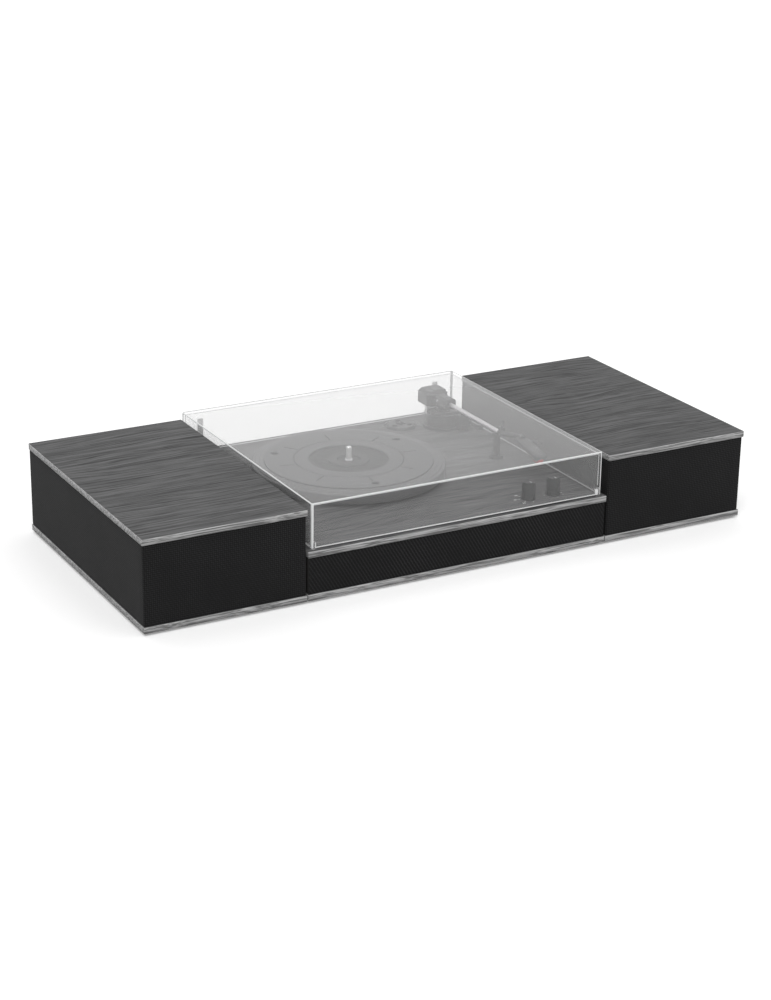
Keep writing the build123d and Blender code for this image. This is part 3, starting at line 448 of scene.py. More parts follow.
def turned(name, colour, centre, rough=0.3, metal=1.0, pitch=0.6, relief=0.25, turn=(0, 0, 0), painted_shade_heights=None):
    """Lathe-turned finish round an axis through one point, with painted shade where it is sunk."""
    material, net, shader = blank(name)
    place = object_place(net)
    moved = net.add("ShaderNodeVectorMath", {0: place, 1: tuple(centre)}, operation="SUBTRACT").outputs[0]
    spun = net.stretch(moved, (1, 1, 1), turn=turn)
    lathe = use_effect(net, "lathe", {"Vector": spun, "Pitch": pitch * MM})
    grit = use_effect(net, "grit", {"Vector": place})
    uneven = net.math("MULTIPLY", lathe["Uneven"], 0.7)
    shade = net.math("ADD", uneven, net.math("MULTIPLY", grit["Fine"], 0.3))
    darker, lighter = tuple(c * 0.8 for c in colour), tuple(min(1.0, c * 1.2) for c in colour)
    tone = net.mix(shade, darker, lighter)
    # Painted shade: where the surface lies low between the given heights, the colour darkens towards 0.12 of
    # itself.
    if painted_shade_heights:
        height = net.add("ShaderNodeSeparateXYZ", {0: place}).outputs[2]
        depth = net.span(height, painted_shade_heights[0], painted_shade_heights[1])
        tone = net.mix(depth, tuple(c * 0.12 for c in colour), tone)
    net.feed(shader.inputs["Base Color"], tone)
    uneven = net.math("MULTIPLY", net.math("ADD", grit["Smudge"], lathe["Ring"]), 0.07)
    net.feed(shader.inputs["Roughness"], net.math("ADD", uneven, rough, clamp=True))
    shader.inputs["Metallic"].default_value = metal
    bumped(net, shader, lathe["Height"], relief, 0.08 * MM)
    return material


def stained(name, settings, shift, heights, knot=None, face_gain=1.0):
    """Stained open-grain board: dark broad faces, paler rough edges, a painted highlight along the top of
    the edges and painted shade towards their foot.
    """
    material, net, shader = blank(name)
    coordinates = net.add("ShaderNodeTexCoord").outputs
    place = net.stretch(coordinates["Object"], (1, 1, 1), move=shift)
    values = {"Vector": place}
    if knot:
        values["Knot"] = tuple(a + b for a, b in zip(knot, shift))
    grain = use_effect(net, "grain", values)
    up = net.add("ShaderNodeSeparateXYZ", {0: coordinates["Normal"]}).outputs[2]
    broad = net.span(net.math("ABSOLUTE", up), 0.55, 0.9, smooth=True)
    spread = settings.contrast
    face, edge = (tuple(c * face_gain for c in settings.face), tuple(settings.edge))
    tones = []
    torn = net.span(grain["Tone"], 0.3, 0.7)
    for colour, reach, tone in ((face, 0.95 * spread, grain["Tone"]), (edge, 0.75 * spread, torn)):
        dark = tuple(c * (1 - reach) for c in colour)
        pale = tuple(min(1.0, c * (1 + reach)) for c in colour)
        tones.append(net.mix(tone, dark, pale))
    height = net.add("ShaderNodeSeparateXYZ", {0: coordinates["Object"]}).outputs[2]
    # Painted light on the edges, by height within the board: painted shade towards the foot and a painted
    # highlight along the top.
    wear_and_painted_light = net.span(height, heights[0], heights[1])
    rubbed_and_painted_light = net.mix(net.span(wear_and_painted_light, 0.0, 0.75, 0.55, 0.0), tones[1], SHADED_FOOT)
    rubbed_and_painted_light = net.mix(net.span(wear_and_painted_light, 0.82, 1.0, 0.0, 0.45), rubbed_and_painted_light, PAINTED_TOP_HIGHLIGHT)
    colour = net.mix(broad, rubbed_and_painted_light, tones[0])
    pored = net.mix(net.math("MULTIPLY", grain["Pores"], 0.3), colour, PORE_FILL)
    net.feed(shader.inputs["Base Color"], pored)
    grit = use_effect(net, "grit", {"Vector": place})
    rough = net.math("ADD", 0.55, net.math("MULTIPLY", grain["Pores"], 0.2))
    net.feed(shader.inputs["Roughness"], net.math("ADD", rough, net.math("MULTIPLY", grit["Smudge"], 0.1)))
    shader.inputs["Specular IOR Level"].default_value = 0.25
    bumped(net, shader, grain["Height"], 0.3, 0.2 * MM)
    return material


def woven(name, settings, pitch, twill):
    """Black grille cloth, woven on the piece's own map in metres, with painted shade in the hollows between
    its ridges.
    """
    material, net, shader = blank(name)
    plane = net.add("ShaderNodeTexCoord").outputs["UV"]
    weave = use_effect(net, "weave", {"Map": plane, "Pitch": pitch, "Twill": twill})
    thread = tuple(settings.colour)
    # Painted shade: the weave's hollows take a tenth of the thread colour.
    deep = tuple(c * 0.1 for c in thread)
    wear_and_painted_light = tuple(c * 2.6 for c in thread)
    pale = net.mix(weave["Shade"], thread, wear_and_painted_light)
    net.feed(shader.inputs["Base Color"], net.mix(weave["Ridge"], deep, pale))
    net.feed(shader.inputs["Roughness"], net.math("ADD", 0.78, net.math("MULTIPLY", weave["Height"], 0.15)))
    shader.inputs["Sheen Weight"].default_value = 0.03
    shader.inputs["Sheen Roughness"].default_value = 0.5
    shader.inputs["Specular IOR Level"].default_value = 0.2
    bumped(net, shader, weave["Height"], 0.6, 0.35 * MM)
    return material


def clear(name, tint, rough, haze=0.0):
    """Clear plastic: what is behind it shows straight through, under the gloss of its two faces.

    Most of the gloss is scattered by fine rubbing marks, so the light on it looks soft.
    """
    material, net, shader = blank(name)
    grit = use_effect(net, "grit", {"Vector": object_place(net), "Fineness": 60.0})
    net.feed(shader.inputs["Base Color"], net.mix(grit["Smudge"], tuple(c * 0.99 for c in tint), tint))
    shader.inputs["Roughness"].default_value = rough
    shader.inputs["Transmission Weight"].default_value = 1.0 - haze
    shader.inputs["IOR"].default_value = ACRYLIC_IOR
    passing = net.add("ShaderNodeBsdfTransparent", {"Color": (0.94, 0.94, 0.94)}).outputs[0]
    gloss = net.add("ShaderNodeBsdfAnisotropic", {"Color": (1.0, 1.0, 1.0), "Roughness": rough}).outputs[0]
    one_face = net.add("ShaderNodeFresnel", {"IOR": ACRYLIC_IOR}).outputs[0]
    two_faces = net.math("DIVIDE", net.math("MULTIPLY", one_face, 2.0), net.math("ADD", one_face, 1.0))
    outward = net.math("SUBTRACT", 1.0, net.add("ShaderNodeNewGeometry").outputs["Backfacing"])
    strength = net.math("ADD", net.math("MULTIPLY", two_faces, GLOSS_SHARE), RUBBED_FLOOR)
    shine = net.math("MULTIPLY", strength, outward)
    soft = net.math("MULTIPLY", shine, RUBBED_SHARE)
    rubbed_and_painted_light = net.add("ShaderNodeBsdfDiffuse", {"Color": (1.0, 1.0, 1.0), "Roughness": 0.0}).outputs[0]
    seen = net.add("ShaderNodeMixShader", {0: soft, 1: passing, 2: rubbed_and_painted_light}).outputs[0]
    sharp = net.math("SUBTRACT", shine, soft)
    seen = net.add("ShaderNodeMixShader", {0: sharp, 1: seen, 2: gloss}).outputs[0]
    refracted = REFRACTED_SHARE + haze
    seen = net.add("ShaderNodeMixShader", {0: refracted, 1: seen, 2: shader.outputs[0]}).outputs[0]
    light = net.add("ShaderNodeLightPath").outputs
    quiet = net.math("MAXIMUM", light["Is Shadow Ray"], light["Is Diffuse Ray"])
    blend = net.add("ShaderNodeMixShader", {0: quiet, 1: seen, 2: passing})
    net.feed(material.node_tree.nodes["Material Output"].inputs["Surface"], blend.outputs[0])
    return material


def circuit(name):
    """Green circuit board with copper tracks and solder pads."""
    material, net, shader = blank(name)
    place = object_place(net)
    brick = net.add("ShaderNodeTexBrick", {"Vector": place, "Scale": 60.0, "Mortar Size": 0.03})
    net.feed(brick.inputs["Color1"], (0.03, 0.13, 0.06))
    net.feed(brick.inputs["Color2"], (0.02, 0.1, 0.045))
    net.feed(brick.inputs["Mortar"], (0.12, 0.2, 0.09))
    dots = net.add("ShaderNodeTexVoronoi", {"Vector": place, "Scale": 190.0}).outputs["Distance"]
    pads = net.span(dots, 0.16, 0.2, 1.0, 0.0)
    net.feed(shader.inputs["Base Color"], net.mix(pads, brick.outputs[0], (0.55, 0.54, 0.5)))
    net.feed(shader.inputs["Metallic"], net.math("MULTIPLY", pads, 0.8))
    net.feed(shader.inputs["Roughness"], net.math("SUBTRACT", 0.45, net.math("MULTIPLY", pads, 0.2)))
    bumped(net, shader, net.math("ADD", pads, brick.outputs["Fac"]), 0.3, 0.1 * MM)
    return material


def dress(node, material):
    """Gives a CAD node its finish."""
    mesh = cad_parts[node].data
    mesh.materials.clear()
    mesh.materials.append(material)


# Mesh building


def piece(name, mesh, body, materials=(), stands_for=()):
    """Adds a finished mesh to the scene, riding on one body."""
    for material in materials:
        mesh.materials.append(material)
    mesh.validate()
    obj = bpy.data.objects.new(name, mesh)
    bpy.context.scene.collection.objects.link(obj)
    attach(obj, body)
    if stands_for:
        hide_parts(*stands_for)
    return obj


def soften(mesh, degrees=35.0):
    """Smooth shading that keeps the sharper edges."""
    mesh.shade_smooth()
    mesh.set_sharp_from_angle(angle=math.radians(degrees))
    return mesh


def finished(name, bm, degrees=35.0):
    """Turns a bmesh into a mesh with outward faces."""
    bmesh.ops.remove_doubles(bm, verts=bm.verts, dist=1e-7)
    bmesh.ops.recalc_face_normals(bm, faces=bm.faces)
    mesh = bpy.data.meshes.new(name)
    bm.to_mesh(mesh)
    bm.free()
    return soften(mesh, degrees)


def aimed(direction):
    """The turn that brings +Z to a direction."""
    return Vector((0, 0, 1)).rotation_difference(Vector(direction)).to_matrix().to_4x4()


def grown(name, tree, values, base=None):
    """Runs a geometry tree with its inputs set and returns a plain mesh."""
    holder = bpy.data.objects.new(name, base or bpy.data.meshes.new(name))
    bpy.context.scene.collection.objects.link(holder)
    modifier = holder.modifiers.new("grow", "NODES")
    modifier.node_group = tree
    for item in tree.interface.items_tree:
        if item.in_out == "INPUT" and item.name in values:
            modifier[item.identifier] = values[item.name]
    shaped = holder.evaluated_get(bpy.context.evaluated_depsgraph_get())
    mesh = bpy.data.meshes.new_from_object(shaped)
    bpy.data.objects.remove(holder)
    mesh.name = name
    return mesh


def geometry_tree(name, inputs):
    """A geometry tree with named inputs, its net, and its input and output nodes."""
    tree = bpy.data.node_groups.new(name, "GeometryNodeTree")
    face = tree.interface
    face.new_socket("Geometry", in_out="INPUT", socket_type="NodeSocketGeometry")
    for label, kind, default in inputs:
        socket = face.new_socket(label, in_out="INPUT", socket_type="NodeSocket" + kind)
        if default is not None:
            socket.default_value = default
    face.new_socket("Geometry", in_out="OUTPUT", socket_type="NodeSocketGeometry")
    net = Net(tree)
    return tree, net, net.add("NodeGroupInput").outputs, net.add("NodeGroupOutput").inputs


def close_tree(net, result, shape, material):
    """Realizes the instances and sets the material at the tree's end."""
    real = net.add("GeometryNodeRealizeInstances", {0: shape}).outputs[0]
    skin = net.add("GeometryNodeSetMaterial", {"Geometry": real, "Material": material})
    net.feed(result[0], skin.outputs[0])


def rib_tree():
    """Round ribs side by side on a circle about Z, as on a knurled grip."""
    inputs = [
        ("Count", "Int", 48),
        ("Circle", "Float", 10 * MM),
        ("Thickness", "Float", 0.5 * MM),
        ("Length", "Float", 4 * MM),
        ("Finish", "Material", None),
    ]
    tree, net, given, result = geometry_tree("grip ribs", inputs)
    circle = net.add("GeometryNodeMeshCircle", {"Vertices": given["Count"], "Radius": given["Circle"]})
    values = {"Vertices": 10, "Radius": given["Thickness"], "Depth": given["Length"]}
    rib = net.add("GeometryNodeMeshCylinder", values)
    ribs = net.add("GeometryNodeInstanceOnPoints", {"Points": circle.outputs[0], "Instance": rib.outputs[0]})
    close_tree(net, result, ribs.outputs[0], given["Finish"])
    return tree


def screw_tree():
    """Domed cross-recess screw heads on the base mesh's points, facing along their aim."""
    inputs = [
        ("Head radius", "Float", 2.6 * MM),
        ("Head height", "Float", 1.3 * MM),
        ("Finish", "Material", None),
    ]
    tree, net, given, result = geometry_tree("cross screws", inputs)
    radius, height = given["Head radius"], given["Head height"]
    ball = net.add("GeometryNodeMeshUVSphere", {"Segments": 24, "Rings": 12, "Radius": radius})
    ratio = net.math("DIVIDE", height, radius)
    squash = net.add("ShaderNodeCombineXYZ", {0: 1.0, 1: 1.0, 2: ratio}).outputs[0]
    dome = net.add("GeometryNodeTransform", {"Geometry": ball.outputs[0], "Scale": squash}).outputs[0]
    long_side, short_side = net.math("MULTIPLY", radius, 1.25), net.math("MULTIPLY", radius, 0.26)
    cuts = []
    for sides in ((long_side, short_side), (short_side, long_side)):
        size = net.add("ShaderNodeCombineXYZ", {0: sides[0], 1: sides[1], 2: height}).outputs[0]
        bar = net.add("GeometryNodeMeshCube", {"Size": size}).outputs[0]
        raised = net.math("MULTIPLY", height, 1.05)
        lift = net.add("ShaderNodeCombineXYZ", {0: 0.0, 1: 0.0, 2: raised}).outputs[0]
        cuts.append(net.add("GeometryNodeTransform", {"Geometry": bar, "Translation": lift}).outputs[0])
    head = net.add("GeometryNodeMeshBoolean", operation="DIFFERENCE")
    head.solver = "EXACT"
    net.feed(head.inputs["Mesh 1"], dome)
    for cut in cuts:
        net.feed(head.inputs["Mesh 2"], cut)
    aim = net.add("GeometryNodeInputNamedAttribute", {"Name": "aim"}, data_type="FLOAT_VECTOR").outputs[0]
    turn = net.add("FunctionNodeAlignRotationToVector", {"Vector": aim}, axis="Z").outputs[0]
    heads = net.add(
        "GeometryNodeInstanceOnPoints",
        {"Points": given["Geometry"], "Instance": head.outputs[0], "Rotation": turn},
    )
    close_tree(net, result, heads.outputs[0], given["Finish"])
    return tree


TREES = {}


def shared_tree(name):
    """A geometry tree, made the first time that it is asked for."""
    makers = {"ribs": rib_tree, "screws": screw_tree}
    if name not in TREES:
        TREES[name] = makers[name]()
    return TREES[name]


def points_with_aim(name, places):
    """A mesh of loose points, each with the way that it faces."""
    mesh = bpy.data.meshes.new(name)
    mesh.from_pydata([tuple(p) for p, aim in places], [], [])
    store = mesh.attributes.new("aim", "FLOAT_VECTOR", "POINT")
    store.data.foreach_set("vector", [c for p, aim in places for c in aim])
    return mesh


def screws(name, places, body, material, radius=2.6, height=1.3):
    """Screw heads at places, sunk to their widest ring."""
    values = {"Head radius": radius * MM, "Head height": height * MM, "Finish": material}
    mesh = grown(name, shared_tree("screws"), values, points_with_aim(name, places))
    return piece(name, soften(mesh), body)


def grip(name, centre, axis, count, circle, thickness, length, body, material):
    """A band of ribs round an axis."""
    values = {
        "Count": count,
        "Circle": circle * MM,
        "Thickness": thickness * MM,
        "Length": length * MM,
        "Finish": material,
    }
    mesh = grown(name, shared_tree("ribs"), values)
    mesh.transform(Matrix.Translation(centre) @ aimed(axis))
    return piece(name, soften(mesh), body)


def wrapped_path(points, radius, steps=6):
    """A flat path with its inner corners rounded, as (place, outward normal) pairs."""
    path = []
    last = len(points) - 1
    for k, point in enumerate(points):
        here = Vector(point)
        if k in (0, last):
            other = Vector(points[1] if k == 0 else points[last - 1])
            along = (other - here).normalized() if k == 0 else (here - other).normalized()
            path.append((here, Vector((along.y, -along.x))))
            continue
        before = (Vector(points[k - 1]) - here).normalized()
        after = (Vector(points[k + 1]) - here).normalized()
        centre = here + (before + after) * radius
        for s in range(steps + 1):
            share = s / steps * math.pi / 2
            out = (-after * math.cos(share) - before * math.sin(share)).normalized()
            path.append((centre + out * radius, out))
    return path


def cloth_skin(name, path, z0, z1, thick):
    """A cloth sleeve along a path, tucked in under the boards above and below it."""
    spread = []
    for (a, na), (b, nb) in zip(path, path[1:]):
        length = (b - a).length
        parts = max(1, int(length / 0.012))
        for s in range(parts):
            share = s / parts
            spread.append((a.lerp(b, share), na.lerp(nb, share).normalized()))
    spread.append(path[-1])
    rows = [0.0, 0.4, 1.0, 2.0]
    height = (z1 - z0) / MM
    levels = rows + [height * k / 8 for k in range(1, 8)] + [height - r for r in reversed(rows)]
    bm = bmesh.new()
    layer = bm.loops.layers.uv.new("cloth map")
    travel = [0.0]
    for (a, na), (b, nb) in zip(spread, spread[1:]):
        travel.append(travel[-1] + (b - a).length)
    grids = []
    for depth in (0.0, thick):
        grid = []
        for place, out in spread:
            column = []
            for level in levels:
                edge = min(level, height - level)
                tuck = 0.5 * MM * (1 - min(edge / 2.0, 1.0)) ** 2
                spot = place - out * (tuck if depth == 0.0 else depth)
                column.append(bm.verts.new((spot.x, spot.y, z0 + level * MM)))
            grid.append(column)
        grids.append(grid)

    def face(corners, marks):
        made = bm.faces.new(corners)
        for loop, mark in zip(made.loops, marks):
            loop[layer].uv = mark

    front, rear = grids
    count, tall = len(spread), len(levels)
    for i in range(count - 1):
        for j in range(tall - 1):
            corners = ((i, j), (i + 1, j), (i + 1, j + 1), (i, j + 1))
            marks = [(travel[a], levels[b] * MM) for a, b in corners]
            face([front[i][j], front[i + 1][j], front[i + 1][j + 1], front[i][j + 1]], marks)
            turned_over = [marks[k] for k in (0, 3, 2, 1)]
            face([rear[i][j], rear[i][j + 1], rear[i + 1][j + 1], rear[i + 1][j]], turned_over)
        for j in (0, tall - 1):
            marks = [(travel[i], levels[j] * MM), (travel[i + 1], levels[j] * MM)] * 2
            corners = [front[i][j], front[i + 1][j], rear[i + 1][j], rear[i][j]]
            face(corners if j else corners[::-1], marks)
    for i in (0, count - 1):
        for j in range(tall - 1):
            marks = [(travel[i], levels[j] * MM), (travel[i], levels[j + 1] * MM)] * 2
            corners = [front[i][j], front[i][j + 1], rear[i][j + 1], rear[i][j]]
            face(corners[::-1] if i else corners, marks)
    mesh = bpy.data.meshes.new(name)
    bmesh.ops.recalc_face_normals(bm, faces=bm.faces)
    bm.to_mesh(mesh)
    bm.free()
    return soften(mesh, 50.0)


def ring_mesh(name, centre, axis, radius, thickness, around=48, section=12):
    """A round ring about an axis."""
    bm = bmesh.new()
    loops = []
    for a in range(around):
        angle = 2 * math.pi * a / around
        out = Vector((math.cos(angle), math.sin(angle), 0))
        loop = []
        for s in range(section):
            turn = 2 * math.pi * s / section
            spot = out * (radius + thickness * math.cos(turn)) + Vector((0, 0, thickness * math.sin(turn)))
            loop.append(bm.verts.new(spot * MM))
        loops.append(loop)
    for a in range(around):
        here, there = loops[a], loops[(a + 1) % around]
        for s in range(section):
            t = (s + 1) % section
            bm.faces.new([here[s], there[s], there[t], here[t]])
    bm.transform(Matrix.Translation(centre) @ aimed(axis))
    return finished(name, bm, 60.0)


def bar(bm, centre, size, turn=0.0):
    """Adds a flat bar, turned about Z, to a bmesh. Sizes are in millimetres."""
    spin = Matrix.Translation(centre) @ Matrix.Rotation(turn, 4, "Z")
    scale = Matrix.Diagonal((size[0] * MM, size[1] * MM, size[2] * MM, 1.0))
    bmesh.ops.create_cube(bm, size=1.0, matrix=spin @ scale)


def numeral(text, height, depth=0.05):
    """Figures as a thin mesh, flat on XY and centred."""
    curve = bpy.data.curves.new("figure", "FONT")
    curve.body = text
    curve.size = height * MM
    curve.extrude = depth * MM
    curve.align_x = "CENTER"
    curve.align_y = "CENTER"
    holder = bpy.data.objects.new("figure", curve)
    bpy.context.scene.collection.objects.link(holder)
    shaped = holder.evaluated_get(bpy.context.evaluated_depsgraph_get())
    mesh = bpy.data.meshes.new_from_object(shaped)
    bpy.data.objects.remove(holder)
    return mesh


# Operators


class Step(bpy.types.Operator):
    """Base for the steps, which all finish or raise an error."""

    bl_options = {"REGISTER"}

    def execute(self, context):
        self.make(context.scene)
        return {"FINISHED"}


class PLAYER_OT_boards(Step):
    """Stain the boards of the player and the loudspeakers"""

    bl_idname = "player.boards"
    bl_label = "Wooden boards"

    def make(self, scene):
        wood = scene.player_wood
        boards = {
            "deck_board": ((0.0, 0.31, 0.02), None, 1.3),
            "base_board": ((0.7, 0.13, 0.05), None, 1.0),
            "left_top_board": ((1.37, 0.02, 0.11), None, 1.0),
            "left_base_board": ((0.2, 0.83, 0.17), None, 1.0),
            "right_top_board": ((0.45, 0.57, 0.23), KNOT, 0.9),
            "right_base_board": ((1.9, 0.44, 0.29), None, 1.0),
        }
        for node, (shift, eye, gain) in boards.items():
            heights = (low(node).z, high(node).z)
            dress(node, stained(node + " stain", wood, shift, heights, eye, gain))
        black = (0.02, 0.019, 0.018)
        raw = moulded("blackened fibreboard", black, 0.85, fineness=900.0, relief=0.5, mottle=0.3)
        for node in ("side_walls", "front_baffle", "left_box", "right_box"):
            dress(node, raw)


class PLAYER_OT_cloth(Step):
    """Wrap the grille cloth round the fronts"""

    bl_idname = "player.cloth"
    bl_label = "Grille cloth"

    def make(self, scene):
        settings = scene.player_cloth
        twill = woven("player twill", settings, settings.player_pitch, 0.6)
        start, end = low("front_cloth"), high("front_cloth")
        path = [(Vector((start.x, start.y)), Vector((0, -1))), (Vector((end.x, start.y)), Vector((0, -1)))]
        mesh = cloth_skin("player_grille", path, start.z, end.z, end.y - start.y)
        piece("player_grille", mesh, "cabinet", [twill], ["front_cloth"])
        fine = woven("loudspeaker cloth", settings, settings.speaker_pitch, 0.15)
        for side in ("left", "right"):
            a, b = low(side + "_cloth"), high(side + "_cloth")
            corners = [(a.x, b.y), (a.x, a.y), (b.x, a.y), (b.x, b.y)]
            path = wrapped_path(corners, 3.0 * MM)
            name = side + "_grille"
            mesh = cloth_skin(name, path, a.z, b.z, 0.9 * MM)
            piece(name, mesh, side + "_speaker", [fine], [side + "_cloth"])


class PLAYER_OT_cover(Step):
    """Finish the clear cover with its bumpers and hinges"""

    bl_idname = "player.cover"
    bl_label = "Clear cover"

    def make(self, scene):
        settings = scene.player_cover
        glass = clear("clear acrylic", tuple(settings.tint), settings.gloss)
        pale = tuple(settings.edge)
        edge = moulded("gathered edge light", pale, 0.2, fineness=400.0, relief=0.05, mottle=0.04)
        piece("clear_cover", self.shell(), "cover", [glass, edge], ["dust_cover"])
        piece("cover_inner_edges", self.inner_edges(), "cover", [edge])
        dress("cover_bumpers", clear("clear bumper", (0.9, 0.9, 0.9), 0.12, haze=0.25))
        grey = moulded("pale hinge moulding", (0.78, 0.78, 0.78), 0.4)
        dress("hinge_leaves", grey)
        dress("hinge_brackets", grey)
        dress("hinge_pins", moulded("bright pin steel", (0.6, 0.6, 0.62), 0.25, 1.0))

    def shell(self):
        """The clear box, whose rounded edges and lower rim have the second material."""
        bm = bmesh.new()
        bm.from_mesh(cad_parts["dust_cover"].data)
        bmesh.ops.remove_doubles(bm, verts=bm.verts, dist=1e-6)
        rim = low("dust_cover").z + 0.2 * MM
        for face in bm.faces:
            flat = max(abs(c) for c in face.normal) > 0.999
            face.material_index = 0 if flat and face.calc_center_median().z > rim else 1
        mesh = bpy.data.meshes.new("clear_cover")
        bm.to_mesh(mesh)
        bm.free()
        return soften(mesh, 25.0)

    def inner_edges(self):
        """Fine beads where the light gathers along the inner corners of the box."""
        wall, bead = COVER_WALL * MM, COVER_BEAD * MM
        a, b = low("dust_cover"), high("dust_cover")
        inset = wall + bead / 2
        x0, x1, y0, y1, top = a.x + inset, b.x - inset, a.y + inset, b.y - inset, b.z - inset
        long, deep, tall = (x1 - x0) / MM, (y1 - y0) / MM, (top - a.z) / MM - BEAD_FOOT
        bm = bmesh.new()
        for y in (y0, y1):
            bar(bm, ((x0 + x1) / 2, y, top), (long, COVER_BEAD, COVER_BEAD))
        for x in (x0, x1):
            bar(bm, (x, (y0 + y1) / 2, top), (COVER_BEAD, deep - 2 * COVER_BEAD, COVER_BEAD))
            for y in (y0, y1):
                bar(bm, (x, y, top - (tall + 2 * COVER_BEAD) / 2 * MM), (COVER_BEAD, COVER_BEAD, tall))
        return finished("cover_inner_edges", bm)


class PLAYER_OT_turntable(Step):
    """Finish the platter, its mat, spindle, bearing, belt and motor"""

    bl_idname = "player.turntable"
    bl_label = "Turntable"

    def make(self, scene):
        deck = scene.player_deck
        centre = middle("spindle")
        dress("platter", turned("turned platter", tuple(deck.platter), centre, 0.35, 0.2, 0.8))
        top = high("platter_mat").z
        # Painted shade for the mat's sunk grooves and recess, between these heights.
        painted_shade_heights = tuple(top - depth * MM for depth in GROOVE_SPAN)
        rubber = turned("platter rubber", tuple(deck.mat), centre, 0.6, 0.0, 1.1, 0.6, painted_shade_heights=painted_shade_heights)
        dress("platter_mat", rubber)
        dress("spindle", turned("spindle steel", (0.85, 0.85, 0.86), centre, 0.15, 0.5, 0.3, 0.1))
        brass = turned("turned brass", (0.62, 0.46, 0.2), middle("motor_pulley"), 0.25, 1.0, 0.4)
        dress("motor_pulley", brass)
        dress("bearing_housing", turned("bearing bronze", (0.45, 0.32, 0.16), centre, 0.35, 1.0, 0.5))
        rubber = moulded("belt rubber", (0.015, 0.015, 0.015), 0.75, fineness=2200.0, relief=0.5)
        dress("drive_belt", rubber)
        dress("motor", moulded("zinc motor case", (0.38, 0.38, 0.4), 0.38, 1.0))
        dress("motor_screws", moulded("motor screw steel", (0.5, 0.5, 0.52), 0.3, 1.0))


class PLAYER_OT_arm(Step):
    """Finish the arm, its pedestal, weight, lift and rest"""

    bl_idname = "player.arm"
    bl_label = "Arm"

    def make(self, scene):
        deck = scene.player_deck
        colour = tuple(deck.moulding)
        black = moulded("arm moulding", colour, 0.36, fineness=2600.0, relief=0.3)
        satin = moulded("satin black metal", colour, 0.45, 0.0, relief=0.12)
        for node in ("arm_base", "arm_rest", "rest_clip", "cue_lever", "cartridge"):
            dress(node, black)
        for node in ("arm_yoke", "pivot_block", "arm_neck", "headshell", "cue_lift"):
            dress(node, satin)
        back = (math.radians(90), 0.0, 0.0)
        dress("counterweight", moulded("weight paint", colour, 0.34, 0.2, fineness=1900.0, relief=0.3))
        metal = turned("arm aluminium", (0.7, 0.68, 0.7), middle("arm_tube"), 0.3, 1.0, 0.25, 0.08, back)
        dress("arm_tube", metal)
        steel = moulded("pivot steel", (0.6, 0.6, 0.62), 0.2, 1.0)
        dress("pivot_pins", steel)
        dress("stylus", moulded("stylus red", (0.55, 0.02, 0.015), 0.25, relief=0.05))
        pins = middle("pivot_pins")
        reach = high("pivot_pins").x - pins.x
        spots = [((pins.x + side * reach, pins.y, pins.z), (side, 0, 0)) for side in (-1, 1)]
        screws("pivot_screws", spots, "arm", steel, 2.2, 0.8)
        pickup = middle("cartridge")
        along = (middle("arm_neck") - pickup).xy.normalized()
        across = Vector((along.y, -along.x))
        spots = []
        for side in (-4.0, 4.0):
            place = pickup.xy + (along * 6.0 + across * side) * MM
            spots.append(((place.x, place.y, high("arm_neck").z - 3.0 * MM), (0, 0, 1)))
        screws("headshell_screws", spots, "arm", steel, 1.3, 0.7)


class PLAYER_OT_controls(Step):
    """Finish the knobs with their pointers and the figures printed round them"""

    bl_idname = "player.controls"
    bl_label = "Controls"

    def make(self, scene):
        colour = tuple(scene.player_deck.moulding)
        black = moulded("knob moulding", colour, 0.42, fineness=2600.0, relief=0.25)
        white = moulded("white print", (0.8, 0.8, 0.8), 0.55, relief=0.05)
        for node in ("speed_knob", "volume_knob"):
            dress(node, black)
        dress("single_adapter", moulded("adapter moulding", (0.035, 0.035, 0.036), 0.45))
        dress("control_bodies", moulded("control case zinc", (0.4, 0.4, 0.42), 0.4, 1.0))
        bodies = {"speed_knob": "speed_control", "volume_knob": "volume_control"}
        for node, body in bodies.items():
            spot = middle(node)
            bm = bmesh.new()
            bar(bm, (spot.x, spot.y - 4.2 * MM, high(node).z + PRINT_LIFT * MM), (0.7, 5.0, 0.08))
            piece(node + "_pointer", finished(node + "_pointer", bm), body, [white])
            grip(
                node + "_ribs",
                (spot.x, spot.y, high(node).z - RIB_DROP * MM),
                (0, 0, 1),
                scene.player_deck.knob_ribs,
                RIB_CIRCLE,
                RIB_RADIUS,
                RIB_LENGTH,
                body,
                black,
            )
        piece("deck_figures", self.figures(), "cabinet", [white])

    def figures(self):
        """The marks round both knobs and the speeds beside the left one."""
        level = high("deck_board").z + PRINT_LIFT * MM
        speed, volume = middle("speed_knob"), middle("volume_knob")
        bm = bmesh.new()
        for degrees in SPEED_MARKS:
            place = self.beside(speed, MARK_CIRCLE, degrees, level)
            bar(bm, place, (2.2, 0.7, 0.1), math.radians(degrees))
        for k in range(VOLUME_MARKS):
            degrees = SPEED_MARKS[0] - VOLUME_STEP * k
            place = self.beside(volume, MARK_CIRCLE, degrees, level)
            bar(bm, place, (0.8 + 0.14 * k, 0.6, 0.1), math.radians(degrees))
        for text, degrees in FIGURES:
            mesh = numeral(text, FIGURE_HEIGHT)
            mesh.transform(Matrix.Translation(self.beside(speed, FIGURE_CIRCLE, degrees, level)))
            bm.from_mesh(mesh)
        return finished("deck_figures", bm)

    def beside(self, centre, radius, degrees, level):
        """A place on a circle round a knob."""
        angle = math.radians(degrees)
        spot = centre + Vector((math.cos(angle), math.sin(angle), 0)) * radius * MM
        return (spot.x, spot.y, level)


